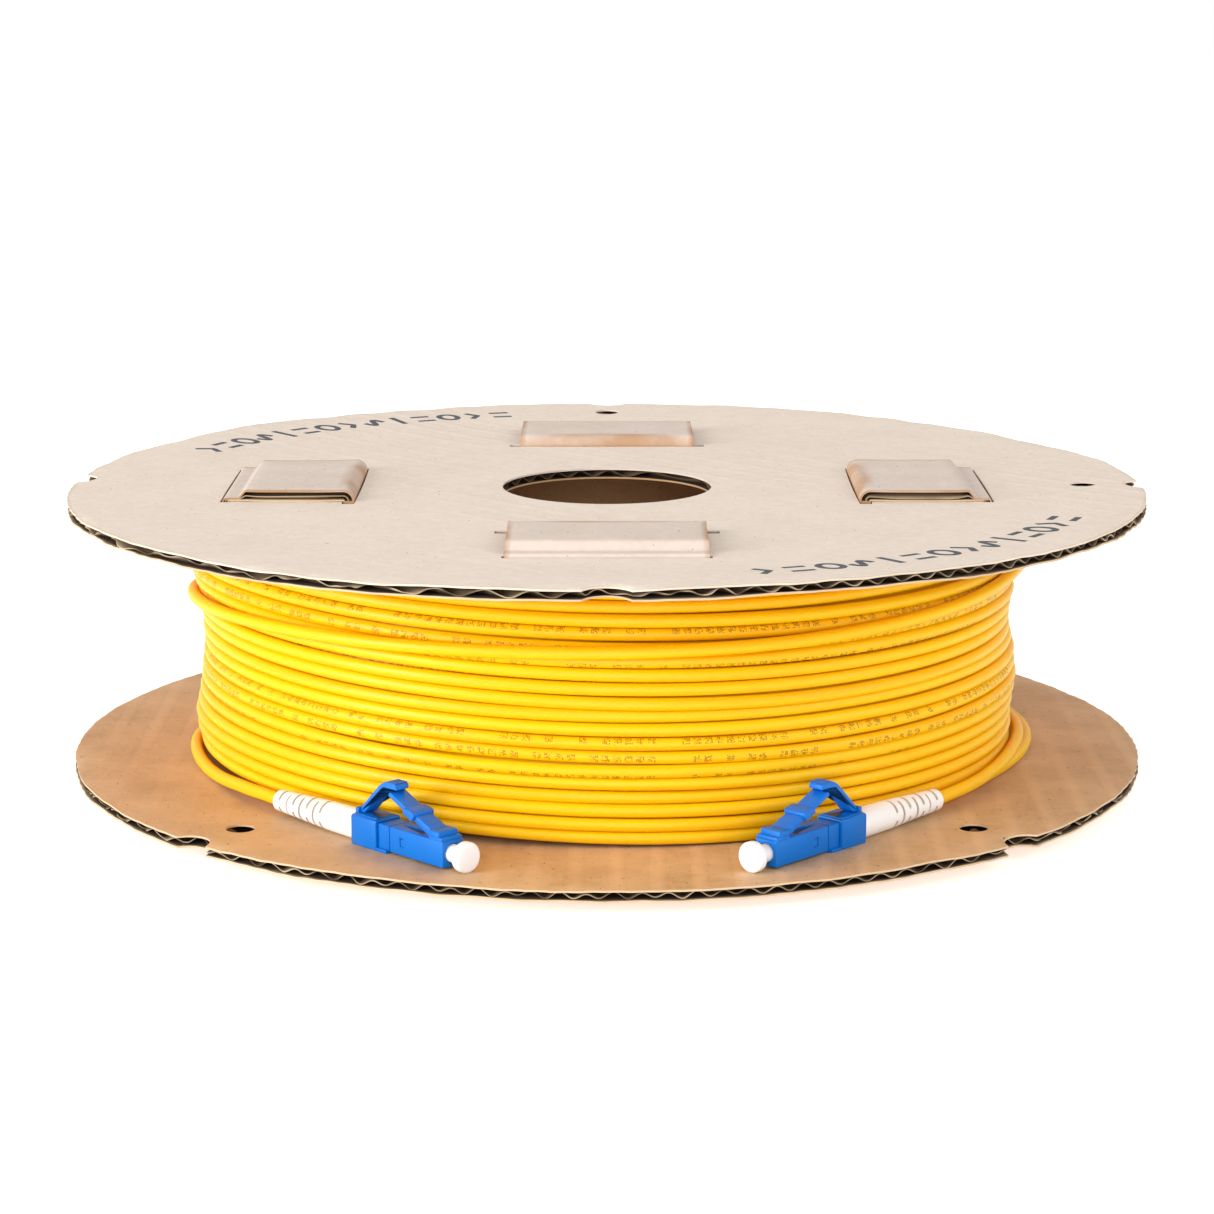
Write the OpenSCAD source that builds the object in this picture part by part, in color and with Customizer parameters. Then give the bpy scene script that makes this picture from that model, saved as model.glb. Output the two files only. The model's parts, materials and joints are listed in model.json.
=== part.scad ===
// Cardboard cable reel. Two round flanges of corrugated board are held by a folded eight-sided
// core, whose tabs pass through the flanges, fold flat on them and tuck into a second slot.
// The core is wound with thin fibre patch cable, which ends in two plugs with dust caps.
// The reel lies flat: the spindle axis is +Z, and z = 0 is the underside of the lower tabs.

/* [Board] */
// Thickness of the corrugated board
board_t = 2; // [1.6:0.1:2.4]
// Play left between two faces of board that lie on each other
board_play = 0.1; // [0.05:0.05:0.2]

/* [Flanges] */
// Outside diameter of both flanges
flange_d = 200; // [192:1:240]
// Diameter of the spindle hole
bore_d = 39; // [30:1:48]
// Free height between the flanges
gap_h = 46.8; // [38:0.2:60]
// Diameter of the tie holes
tie_hole_d = 5; // [3:0.5:6]
// Distance from the rim to the middle of a tie hole
tie_hole_inset = 11; // [8:0.5:13]
// Width of the finger notches in the rim
notch_w = 8; // [5:0.5:12]
// Depth of the finger notches
notch_depth = 3; // [2:0.5:5]

/* [Core and tabs] */
// Width of the core, from flat to flat
core_w = 96; // [80:1:116]
// Part of each core panel that stops under the flange, beside the tab
shoulder_w = 2.6; // [1:0.2:4]
// Length of a tab from its fold to its tip
tab_l = 22; // [17:0.5:26]
// Thickness of the pressed lip at the tip of a tab
lip_t = 1.2; // [0.8:0.1:1.6]
// Distance by which a lip stops short of the flange's far face
lip_short = 0.4; // [0.2:0.1:0.8]
// Clearance around a tab in its slots
slot_gap = 0.3; // [0.2:0.05:0.6]
// Length by which the fold slot is longer than the tab is wide, at each end
slot_over = 2.2; // [0.5:0.1:3]

/* [Cable] */
// Outside diameter of the cable
cable_d = 2.3; // [1.9:0.1:3]
// Layers of cable on the core
layers = 12; // [8:1:13]
// Clearance between the wound cable and the board
winding_gap = 0.1; // [0.05:0.05:0.3]
// Direction in which the left plug's boot meets the winding, in degrees
left_plug_angle = -136.5; // [-150:0.5:-120]
// Direction in which the right plug's boot meets the winding, in degrees
right_plug_angle = -43; // [-60:0.5:-30]

/* [Plugs] */
// Width and height of the plug body
plug_w = 4.5; // [4.3:0.1:4.8]
// Distance from the back of the rear clip to the plug's front face
plug_reach = 23.1; // [21:0.1:26]
// Width of the rear clip
clip_w = 5.6; // [5.3:0.1:6.2]
// Height of the rear clip
clip_h = 5.3; // [5.1:0.1:5.8]
// Length of the rear clip
clip_l = 6.6; // [6:0.1:8]
// Length of the boot
boot_l = 22.5; // [18:0.5:26]
// Diameter of the boot at its front
boot_d = 5.2; // [4.8:0.1:5.6]
// Diameter of the boot at its tail
boot_tail_d = 3.6; // [3:0.1:3.8]
// Diameter of the ferrule
ferrule_d = 1.25; // [1.2:0.05:1.3]
// Diameter of the dust cap's tube
cap_d = 3.1; // [2.9:0.1:3.3]
// Diameter of the dust cap's head
cap_head_d = 5.2; // [4.6:0.1:5.8]
// Running clearance between parts that slide in each other
slide_gap = 0.05; // [0.02:0.01:0.1]

/* [Hidden] */
$fn = 96;
SIDES = 8;
overcut = 1;

// Heights, from the floor up
lower_flange_z = board_t + board_play;
lower_face_z = lower_flange_z + board_t;
upper_flange_z = lower_face_z + gap_h;
upper_face_z = upper_flange_z + board_t;
upper_fold_z = upper_face_z + board_play;

// Core and tabs
core_r = core_w / 2;
core_corner_r = core_r / cos(180 / SIDES);
panel_w = core_w * tan(180 / SIDES);
tab_w = panel_w - 2 * shoulder_w;
lip_reach = board_t + board_play - lip_short;
upper_tab_angles = [0, 90, 180, 270];
lower_tab_angles = [45, 135, 225, 315];

// Rim features, as directions from the spindle axis
upper_tie_angles = [0, 90];
lower_tie_angles = [225, 315];
upper_notch_angles = [0, 90, 176, 270];
lower_notch_angles = [45, 135, 225, 315];

// Winding: each layer nests in the grooves of the one below, and the boots lie clear of it
boot_gap = 0.4;
layer_pitch = cable_d * cos(30);
winding_r = core_corner_r + winding_gap + layers * layer_pitch;
plug_circle_r = winding_r + boot_tail_d / 2 + boot_gap;

// Plug, along its own +X from the back of the rear clip
clip_wall = 0.4;
bay_d = 3.4;
bay_back_x = 0.6;
bay_front_x = 15;
nose_wall = 1;
nose_d = 2.2;
socket_d = cap_d + 4 * slide_gap;
ferrule_out = 1.5;
ferrule_l = 13;
fibre_d = 0.125;
holder_l = 6.4;
holder_flange_x = bay_front_x - 2.8;
holder_flange_l = 2.7;
holder_d = 2;
insert_front_x = 6.2;
insert_bore_d = 1.2;
insert_barrel_d = 2.6;
insert_barrel_l = 4;
crimp_l = 7;
crimp_d = 3.6;
crimp_front_x = -0.2;
boot_bore_d = 3.8;
boot_bore_l = 8;
cable_end_x = -boot_bore_l - 0.2;
spring_wire_d = 0.3;
spring_turns = 6;
spring_steps = 12;
spring_play = 0.1;
boot_rings = 7;
boot_groove_w = 0.5;
boot_groove_depth = 0.4;
boot_plain_l = 8;
boot_tail_ring_l = 1;
clip_foot_l = 2.6;
clip_foot_inset = 0.5;
arm_lug_x = 0.2;
arm_lug_l = 0.7;
arm_lug_h = 1;
cap_insert = 4.9;
cap_tube_l = 9;
cap_head_t = 1.6;

// Latch lever, on a thin web at the plug's front block, and the arm that presses it
block_l = 2.6;
block_h = 1.2;
block_inset = 0.2;
block_back_x = plug_reach - 0.8 - block_l;
latch_x = block_back_x - 0.7;
latch_z = plug_w / 2 + 0.75;
latch_l = 11.2;
latch_rise = 24;
latch_t = 1;
latch_w = 3.2;
latch_ear_w = 4.6;
latch_ear_back = 6.5;
latch_ear_l = 2.6;
arm_x = 1.5;
arm_z = clip_h / 2 + 0.75;
arm_pad_x = 8.8;
arm_pad_z = 9.4;
arm_t = 0.9;
arm_w = 3.6;
hinge_r = 0.5;

// Free ends of the cable, as [direction, distance from the spindle axis, height] by hand.
// Each leaves the winding, lies along it and runs straight into its boot.
left_lead = [
    [-186, 75.6, 5.4], [-183, 76.3, 5.4], [-180, 76.9, 5.4], [-177, 77.2, 5.4], [-174, 77.3, 5.4],
    [-171, 77.3, 5.4], [-168, 77.3, 5.4], [-165, 77.3, 5.4], [-162, 77.3, 5.4], [-159, 77.3, 5.4],
    [-156, 77.3, 5.5], [-153, 77.4, 5.7], [-150, 77.5, 6.0], [-147, 77.6, 6.3], [-144, 77.8, 6.5],
    [-141, 77.9, 6.7]];
right_lead = [
    [8, 75.6, 7.8], [5, 76.3, 7.8], [2, 76.9, 7.8], [-1, 77.2, 7.8], [-4, 77.3, 7.8],
    [-7, 77.3, 7.8], [-10, 77.3, 7.8], [-13, 77.3, 7.8], [-16, 77.3, 7.8], [-19, 77.4, 7.7],
    [-22, 77.5, 7.6], [-25, 77.6, 7.4], [-28, 77.6, 7.2], [-31, 77.7, 7.0], [-34, 77.8, 6.9],
    [-37.5, 77.9, 6.8]];

// Where each plug lies: name, direction of its boot's tail, turn from there to its heading, route
PLUGS = [
    ["left", left_plug_angle, 90, left_lead],
    ["right", right_plug_angle, -90, right_lead]];

PLUG_NODES = ["plug_housing", "latch_lever", "rear_clip", "trigger_arm", "ferrule",
    "ferrule_holder", "ferrule_spring", "cable_insert", "crimp_sleeve", "boot", "dust_cap"];

// ---- Helpers ----

function polar(p) = [p[1] * cos(p[0]), p[1] * sin(p[0]), p[2]];
function unit(v) = v / norm(v);

// Closed tube of sides flat sides swept along the points in path
module sweep(path, d, sides) {
    last = len(path) - 1;
    rings = [for (i = [0 : last])
        let (ahead = unit(path[min(i + 1, last)] - path[max(i - 1, 0)]),
             across = unit(cross(ahead, abs(ahead[2]) > 0.9 ? [1, 0, 0] : [0, 0, 1])),
             up = cross(across, ahead))
        for (k = [0 : sides - 1])
            path[i] + d / 2 * (cos(360 * k / sides) * across + sin(360 * k / sides) * up)];
    walls = [for (i = [0 : last - 1]) for (k = [0 : sides - 1])
        let (j = (k + 1) % sides, here = i * sides, next = here + sides)
        each [[here + k, next + k, next + j], [here + k, next + j, here + j]]];
    ends = [[for (k = [0 : sides - 1]) k],
            [for (k = [sides - 1 : -1 : 0]) last * sides + k]];
    polyhedron(rings, concat(walls, ends));
}

// A bar along +X from x0 to x1, square across, its middle on the X axis
module bar(x0, x1, w, h) {
    translate([x0, -w / 2, -h / 2]) cube([x1 - x0, w, h]);
}

// A rod along +X from x0 to x1
module rod(x0, x1, d) {
    translate([x0, 0, 0]) rotate([0, 90, 0]) cylinder(d = d, h = x1 - x0);
}

// A profile in X and Z, given its width across Y
module slab(w) {
    rotate([90, 0, 0]) linear_extrude(w, center = true) children();
}

// ---- Board parts ----

// Slots that one tab passes through and tucks into, seen from above, tab along +X
module tab_slots() {
    translate([core_r - board_t - slot_gap / 2, -tab_w / 2 - slot_over])
        square([board_t + slot_gap, tab_w + 2 * slot_over]);
    translate([core_r + tab_l - lip_t - slot_gap, -tab_w / 2 - slot_gap])
        square([lip_t + 2.5 * slot_gap, tab_w + 2 * slot_gap]);
}

module flange(tab_angles, tie_angles, notch_angles) {
    linear_extrude(board_t) difference() {
        circle(d = flange_d, $fn = 192);
        circle(d = bore_d);
        for (a = tab_angles) rotate(a) tab_slots();
        for (a = tie_angles) rotate(a)
            translate([flange_d / 2 - tie_hole_inset, 0]) circle(d = tie_hole_d, $fn = 48);
        for (a = notch_angles) rotate(a)
            translate([flange_d / 2 + notch_w / 2 - notch_depth, 0]) circle(d = notch_w, $fn = 48);
    }
}

module upper_flange() {
    color("BurlyWood") translate([0, 0, upper_flange_z])
        flange(upper_tab_angles, upper_tie_angles, upper_notch_angles);
}

module lower_flange() {
    color("Tan") translate([0, 0, lower_flange_z])
        flange(lower_tab_angles, lower_tie_angles, lower_notch_angles);
}

// Eight-sided tube of folded board, from the lower folding lines to the upper ones
module core_tube() {
    translate([0, 0, board_t]) difference() {
        linear_extrude(upper_fold_z - board_t) rotate(180 / SIDES)
            circle(r = core_corner_r, $fn = SIDES);
        translate([0, 0, -overcut]) linear_extrude(upper_fold_z - board_t + 2 * overcut)
            rotate(180 / SIDES)
            circle(r = core_corner_r - board_t / cos(180 / SIDES), $fn = SIDES);
    }
}

// Block that keeps the stem of a tab, from z0 to z1, when the tube's ends are cut back
module stem_block(z0, z1) {
    translate([core_r - board_t - overcut, -tab_w / 2, z0])
        cube([board_t + 2 * overcut, tab_w, z1 - z0]);
}

module core_wall() {
    middle_z = lower_face_z + gap_h / 2;
    color("Peru") intersection() {
        core_tube();
        union() {
            translate([0, 0, lower_face_z]) cylinder(r = core_corner_r + overcut, h = gap_h);
            for (a = upper_tab_angles) rotate(a) stem_block(middle_z, upper_fold_z + overcut);
            for (a = lower_tab_angles) rotate(a) stem_block(board_t - overcut, middle_z);
        }
    }
}

// Round bend between a stem and its tab, around the tab's folding line
module tab_fold() {
    translate([core_r, 0, 0]) intersection() {
        rotate([90, 0, 0]) cylinder(r = board_t, h = tab_w, center = true);
        translate([-board_t, -tab_w / 2, 0]) cube([board_t, tab_w, board_t]);
    }
}

module upper_tab_folds() {
    color("RosyBrown") for (a = upper_tab_angles)
        rotate(a) translate([0, 0, upper_fold_z]) tab_fold();
}

module lower_tab_folds() {
    color("RosyBrown") for (a = lower_tab_angles)
        rotate(a) translate([0, 0, board_t]) mirror([0, 0, 1]) tab_fold();
}

// Tab lying outwards from its folding line, with its lip tucked down at the tip
module tab() {
    tip_x = core_r + tab_l;
    slab(tab_w) polygon([
        [core_r, 0], [tip_x - lip_t, 0], [tip_x - lip_t, -lip_reach], [tip_x, -lip_reach],
        [tip_x, board_t - lip_t / 2], [tip_x - lip_t / 2, board_t], [core_r, board_t]]);
}

module upper_tab(a) {
    color("RosyBrown") rotate(a) translate([0, 0, upper_fold_z]) tab();
}

module lower_tab(a) {
    color("RosyBrown") rotate(a) translate([0, 0, board_t]) mirror([0, 0, 1]) tab();
}

// ---- Cable ----

module cable_winding() {
    color("Gold") translate([0, 0, lower_face_z + winding_gap]) rotate_extrude($fn = 192)
        translate([core_corner_r + winding_gap, 0])
        square([layers * layer_pitch, gap_h - 2 * winding_gap]);
}

// Places its children in a plug's frame: +X from the boot towards the cap, lying on the flange
module at_plug(p) {
    translate(plug_origin(p)) rotate(p[1] + p[2]) children();
}

function plug_ahead(p) = [cos(p[1] + p[2]), sin(p[1] + p[2]), 0];
function plug_origin(p) =
    polar([p[1], plug_circle_r, lower_face_z + clip_h / 2]) + boot_l * plug_ahead(p);

module cable_lead(p) {
    boot_way = [for (x = [-boot_l, -(boot_l + boot_bore_l) / 2, cable_end_x])
        plug_origin(p) + x * plug_ahead(p)];
    color("Gold") sweep(concat([for (q = p[3]) polar(q)], boot_way), cable_d, 8);
}

// ---- Plug parts, in the plug's frame ----

module plug_housing() {
    color("RoyalBlue") difference() {
        union() {
            bar(bay_back_x, plug_reach, plug_w, plug_w);
            translate([block_back_x, -plug_w / 2 + block_inset, plug_w / 2])
                cube([block_l, plug_w - 2 * block_inset, block_h]);
        }
        rod(bay_back_x - overcut, bay_front_x, bay_d);
        rod(bay_front_x - overcut, plug_reach, nose_d + 4 * slide_gap);
        rod(bay_front_x + nose_wall, plug_reach + overcut, socket_d);
    }
}

module rear_clip() {
    hole = plug_w + 2 * slide_gap;
    color("RoyalBlue") {
        difference() {
            bar(0, clip_l, clip_w, clip_h);
            bar(bay_back_x - slide_gap, clip_l + overcut, hole, hole);
            rod(-overcut, bay_back_x, crimp_d + 4 * slide_gap);
        }
        translate([clip_l, -plug_w / 2 + clip_foot_inset, -clip_h / 2])
            cube([clip_foot_l, plug_w - 2 * clip_foot_inset, clip_wall - slide_gap]);
        translate([arm_lug_x, -arm_w / 2, clip_h / 2]) cube([arm_lug_l, arm_w, arm_lug_h]);
    }
}

// Lever that rises from the front block over the plug, with a wider stop half way
module latch_lever() {
    color("CornflowerBlue") translate([latch_x, 0, latch_z]) rotate([0, latch_rise, 0]) {
        rotate([90, 0, 0]) cylinder(r = hinge_r, h = latch_w, center = true);
        translate([-latch_l, -latch_w / 2, -latch_t / 2]) cube([latch_l, latch_w, latch_t]);
        translate([-latch_ear_back, -latch_ear_w / 2, -latch_t / 2])
            cube([latch_ear_l, latch_ear_w, latch_t]);
    }
}

// Arm that rises from the rear clip and ends in a pad over the tip of the latch lever
module trigger_arm() {
    pad_rear = arm_pad_x - arm_x - 1.4;
    pad_front = arm_pad_x - arm_x + 1.6;
    pad_top = arm_pad_z - arm_z;
    color("CornflowerBlue") translate([arm_x, 0, arm_z]) {
        rotate([90, 0, 0]) cylinder(r = hinge_r, h = arm_w, center = true);
        slab(arm_w) polygon([
            [0, hinge_r], [0.3, -0.3],
            [pad_rear, pad_top - arm_t - 0.2], [pad_front, pad_top - arm_t - 0.2],
            [pad_front, pad_top - 0.3], [pad_front - 0.5, pad_top], [pad_rear, pad_top]]);
    }
}

module ferrule() {
    color("White") difference() {
        rod(plug_reach + ferrule_out - ferrule_l, plug_reach + ferrule_out, ferrule_d);
        rod(plug_reach, plug_reach + ferrule_out + overcut, fibre_d);
    }
}

module ferrule_holder() {
    color("Silver") difference() {
        union() {
            rod(bay_front_x + nose_wall - holder_l, bay_front_x + nose_wall, holder_d);
            rod(holder_flange_x, holder_flange_x + holder_flange_l, bay_d - 2 * slide_gap);
        }
        rod(0, plug_reach, ferrule_d);
    }
}

// Coil spring between the cable insert and the holder's flange
module ferrule_spring() {
    coil_d = (holder_d + bay_d) / 2;
    coil_l = holder_flange_x - insert_front_x - spring_wire_d - 2 * spring_play;
    last = spring_steps * spring_turns;
    step_turn = 360 / spring_steps;
    color("Gray") translate([insert_front_x + spring_wire_d / 2 + spring_play, 0, 0])
        sweep([for (i = [0 : last]) [coil_l * i / last, coil_d / 2 * cos(step_turn * i),
            coil_d / 2 * sin(step_turn * i)]], spring_wire_d, 6);
}

module cable_insert() {
    color("White") difference() {
        union() {
            rod(bay_back_x, insert_front_x, bay_d - 2 * slide_gap);
            rod(-insert_barrel_l, bay_back_x + overcut, insert_barrel_d);
        }
        rod(-insert_barrel_l - overcut, insert_front_x + overcut, insert_bore_d);
    }
}

module crimp_sleeve() {
    color("Silver") difference() {
        rod(-crimp_l, crimp_front_x, crimp_d);
        rod(-crimp_l - overcut, 0, insert_barrel_d + 2 * slide_gap);
    }
}

// Tapered strain relief with rings parted by grooves over its rear half
module boot() {
    pitch = (boot_l - boot_plain_l - boot_tail_ring_l) / boot_rings;
    taper = boot_d - boot_tail_d;
    color("White") difference() {
        rotate([0, -90, 0]) rotate_extrude() polygon([
            [boot_bore_d / 2, 0], [boot_d / 2, 0], [boot_d / 2 - 0.1, boot_plain_l],
            [boot_tail_d / 2, boot_l], [cable_d / 2 + slide_gap, boot_l],
            [cable_d / 2 + slide_gap, boot_bore_l], [boot_bore_d / 2, boot_bore_l]]);
        for (i = [0 : boot_rings - 1])
            translate([-boot_plain_l - pitch * (i + 0.5), 0, 0]) rotate([0, -90, 0]) difference() {
                cylinder(d = boot_d + overcut, h = boot_groove_w);
                translate([0, 0, -overcut]) cylinder(
                    d = boot_d - taper * (i + 1) / boot_rings - boot_groove_depth,
                    h = boot_groove_w + 2 * overcut);
            }
    }
}

module dust_cap() {
    tube_x = plug_reach - cap_insert;
    color("White") difference() {
        union() {
            rod(tube_x, tube_x + cap_tube_l, cap_d);
            rod(tube_x + cap_tube_l - cap_head_t, tube_x + cap_tube_l, cap_head_d);
        }
        rod(tube_x - overcut, plug_reach + ferrule_out + 1, ferrule_d + 2 * slide_gap);
    }
}

// ---- Assembly ----

upper_flange();
lower_flange();
core_wall();
upper_tab_folds();
lower_tab_folds();
for (i = [1 : len(upper_tab_angles)])
    upper_tab(upper_tab_angles[i - 1]);
for (i = [1 : len(lower_tab_angles)])
    lower_tab(lower_tab_angles[i - 1]);
cable_winding();
for (p = PLUGS) {
    cable_lead(p);
    at_plug(p) plug_housing();
    at_plug(p) latch_lever();
    at_plug(p) rear_clip();
    at_plug(p) trigger_arm();
    at_plug(p) ferrule();
    at_plug(p) ferrule_holder();
    at_plug(p) ferrule_spring();
    at_plug(p) cable_insert();
    at_plug(p) crimp_sleeve();
    at_plug(p) boot();
    at_plug(p) dust_cap();
}
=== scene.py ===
"""A cardboard cable reel: corrugated flanges, a folded core, wound patch cable and two latched plugs.

Lengths in the classes are in millimetres and are scaled to metres when a mesh is made. Places come
from the frame: the boxes of its nodes, its joints and its mounts.
"""

from __future__ import annotations

import json
import logging
import math
from dataclasses import dataclass, field
from enum import Enum

import bpy
import numpy as np
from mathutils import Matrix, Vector
from mathutils.geometry import delaunay_2d_cdt

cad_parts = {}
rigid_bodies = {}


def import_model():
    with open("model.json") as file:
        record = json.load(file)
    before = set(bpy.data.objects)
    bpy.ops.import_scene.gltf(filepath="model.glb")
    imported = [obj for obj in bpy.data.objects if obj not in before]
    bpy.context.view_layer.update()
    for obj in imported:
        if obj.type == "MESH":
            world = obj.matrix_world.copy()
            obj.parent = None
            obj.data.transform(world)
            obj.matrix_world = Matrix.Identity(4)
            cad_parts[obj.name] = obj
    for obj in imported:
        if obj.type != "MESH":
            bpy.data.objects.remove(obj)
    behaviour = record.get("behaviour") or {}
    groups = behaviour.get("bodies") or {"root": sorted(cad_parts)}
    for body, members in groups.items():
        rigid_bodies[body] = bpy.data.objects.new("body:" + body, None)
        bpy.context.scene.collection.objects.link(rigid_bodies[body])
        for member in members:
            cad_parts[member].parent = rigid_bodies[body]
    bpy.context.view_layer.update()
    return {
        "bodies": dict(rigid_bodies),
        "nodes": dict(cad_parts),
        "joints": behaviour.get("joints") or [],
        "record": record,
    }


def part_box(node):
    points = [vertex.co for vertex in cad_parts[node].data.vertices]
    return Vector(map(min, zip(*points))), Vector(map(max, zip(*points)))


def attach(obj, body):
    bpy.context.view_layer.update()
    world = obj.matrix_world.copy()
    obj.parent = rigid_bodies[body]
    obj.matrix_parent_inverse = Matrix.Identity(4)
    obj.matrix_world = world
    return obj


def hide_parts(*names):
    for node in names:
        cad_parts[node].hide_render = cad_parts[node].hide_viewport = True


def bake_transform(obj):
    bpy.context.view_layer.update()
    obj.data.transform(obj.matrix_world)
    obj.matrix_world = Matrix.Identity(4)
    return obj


LOG = logging.getLogger("reel")
MM = 0.001
FULL = 2 * math.pi
MIX_FACTOR, MIX_FIRST, MIX_SECOND, MIX_RESULT = 0, 6, 7, 2  # a colour Mix node's sockets

Triple = tuple[float, float, float]
Colour = tuple[float, float, float, float]
Station = tuple[float, float, float, float, float]
Shell = tuple[np.ndarray, list[list[int]]]


# ---- Numbers and small shapes -------------------------------------------------------------------


def smooth(x: np.ndarray | float) -> np.ndarray:
    """A soft step from 0 to 1: 3 x squared minus 2 x cubed, with x held between 0 and 1."""
    x = np.clip(x, 0.0, 1.0)
    return x * x * (3 - 2 * x)


def wander(x: np.ndarray, seed: int, first: float, count: int = 6) -> np.ndarray:
    """A smooth wander of about one either way.

    The sum of `count` sines of x. Their frequencies rise from `first` in uneven steps, their
    phases are drawn from the seed, and their heights fall as one over their number.

    Args:
        x: Where the wander is wanted, in radians.
        seed: Seed of the draw.
        first: Frequency of the slowest sine.
        count: Number of sines.

    Returns:
        The wander at each x.
    """
    draw = np.random.default_rng(seed)
    total = np.zeros_like(x, dtype=float)
    for k in range(count):
        total += np.sin(x * first * (1 + k) + draw.uniform(0, FULL)) / (1 + 0.6 * k)
    return total / 1.6


def closed_wander(angle: np.ndarray, seed: int, lowest: int, count: int = 8) -> np.ndarray:
    """Like wander, with whole-number frequencies from `lowest`, so it closes round a circle."""
    draw = np.random.default_rng(seed)
    total = np.zeros_like(angle, dtype=float)
    for k in range(count):
        total += np.sin(angle * (lowest + 3 * k) + draw.uniform(0, FULL)) / (1 + 0.4 * k)
    return total / 1.8


def polar(direction: float, radius: float, height: float = 0.0) -> np.ndarray:
    """The point at a direction in degrees, a distance from the spindle axis and a height."""
    a = math.radians(direction)
    return np.array([radius * math.cos(a), radius * math.sin(a), height])


def make_mesh(
    name: str, points: np.ndarray, faces: list[list[int]], flat: bool = False
) -> bpy.types.Object:
    """Makes an object of a mesh whose points are given in millimetres.

    Args:
        name: Name of the piece.
        points: Points, one row each.
        faces: Corner numbers of each face, facing outwards.
        flat: True for flat shading.

    Returns:
        The new object, at the origin.
    """
    mesh = bpy.data.meshes.new(name)
    mesh.from_pydata((np.asarray(points, float) * MM).tolist(), [], faces)
    mesh.validate()
    mesh.polygons.foreach_set("use_smooth", np.full(len(mesh.polygons), not flat))
    piece = bpy.data.objects.new(name, mesh)
    bpy.context.scene.collection.objects.link(piece)
    return piece


def loft_faces(count: int, around: int) -> list[list[int]]:
    """Faces of a skin over `count` rings of `around` points each, whose ends are closed.

    Rings follow each other along the shape and their points run so that the faces look outwards:
    counter-clockwise seen from the last ring's end.
    """
    i, k = np.meshgrid(np.arange(count - 1), np.arange(around), indexing="ij")
    a, b = i * around + k, i * around + (k + 1) % around
    quads = np.stack([a, b, b + around, a + around], axis=-1).reshape(-1, 4).tolist()
    quads.append(list(range(around - 1, -1, -1)))
    quads.append(list(range((count - 1) * around, count * around)))
    return quads


def sharpen(piece: bpy.types.Object, degrees: float = 35.0) -> bpy.types.Object:
    """Marks the edges that turn more than an angle as sharp, so that moulded corners stay crisp."""
    piece.data.set_sharp_from_angle(angle=math.radians(degrees))
    return piece


class Shells:
    """Closed shells gathered into one piece."""

    def __init__(self) -> None:
        """Starts with no shell."""
        self.points: list[np.ndarray] = []
        self.faces: list[list[int]] = []
        self.total = 0

    def add(self, points: np.ndarray, faces: list[list[int]]) -> None:
        """Adds one shell of its own points and faces."""
        self.points.append(np.asarray(points, float).reshape(-1, 3))
        self.faces += [[n + self.total for n in f] for f in faces]
        self.total += len(self.points[-1])

    def piece(self, name: str, flat: bool = False) -> bpy.types.Object:
        """Makes the piece of everything added so far."""
        return make_mesh(name, np.concatenate(self.points), self.faces, flat)


def slab_shell(top: np.ndarray, bottom: np.ndarray) -> Shell:
    """The closed shell between two grids of the same shape, the upper one seen from its own side.

    Args:
        top: Grid of points, rows by columns by three, where rows cross columns points up.
        bottom: The grid below it.

    Returns:
        Points and faces of the shell.
    """
    rows, cols = top.shape[:2]
    index = np.arange(rows * cols).reshape(rows, cols)
    low = index + rows * cols
    up = np.stack([index[:-1, :-1], index[1:, :-1], index[1:, 1:], index[:-1, 1:]], -1)
    down = np.stack([low[:-1, :-1], low[:-1, 1:], low[1:, 1:], low[1:, :-1]], -1)
    rim = np.concatenate([index[0, :-1], index[:-1, -1], index[-1, :0:-1], index[:0:-1, 0]])
    after = np.roll(rim, -1)
    side = np.stack([rim, after, after + rows * cols, rim + rows * cols], -1)
    faces = np.concatenate([up.reshape(-1, 4), down.reshape(-1, 4), side]).tolist()
    return np.concatenate([top.reshape(-1, 3), bottom.reshape(-1, 3)]), faces


def tube_rings(path: np.ndarray, radius: np.ndarray | float, sides: int) -> np.ndarray:
    """Rings of a round tube along a path that never runs straight up.

    Each ring stands square to the path. Its first point is on the side away from the spindle and
    its points turn about the path, so the tube does not twist.

    Args:
        path: Points of the centre line.
        radius: Radius of the tube, one for all or one for each point.
        sides: Points in a ring.

    Returns:
        Rings by sides by three.
    """
    ahead = np.gradient(path, axis=0)
    ahead /= np.linalg.norm(ahead, axis=1)[:, None]
    across = np.cross(ahead, [0.0, 0.0, 1.0])
    across /= np.linalg.norm(across, axis=1)[:, None]
    down = np.cross(ahead, across)
    turn = np.arange(sides) * FULL / sides
    size = np.broadcast_to(radius, len(path))[:, None, None]
    rim = np.cos(turn)[None, :, None] * across[:, None] + np.sin(turn)[None, :, None] * down[:, None]
    return path[:, None] + size * rim


def through(points: np.ndarray, between: int) -> np.ndarray:
    """A smooth line through points: the Catmull-Rom cubic, with `between` steps from one to the next."""
    p = np.concatenate([[2 * points[0] - points[1]], points, [2 * points[-1] - points[-2]]])
    u = np.linspace(0, 1, between, endpoint=False)[:, None, None]
    a, b, c, d = p[:-3], p[1:-2], p[2:-1], p[3:]
    bend, twist = 2 * a - 5 * b + 4 * c - d, 3 * b - a - 3 * c + d
    line = 0.5 * (2 * b + (c - a) * u + bend * u**2 + twist * u**3)
    return np.concatenate([line.transpose(1, 0, 2).reshape(-1, 3), points[-1:]])


def run_length(path: np.ndarray) -> np.ndarray:
    """Length along a path up to each of its points."""
    return np.concatenate([[0.0], np.cumsum(np.linalg.norm(np.diff(path, axis=0), axis=1))])


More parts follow.
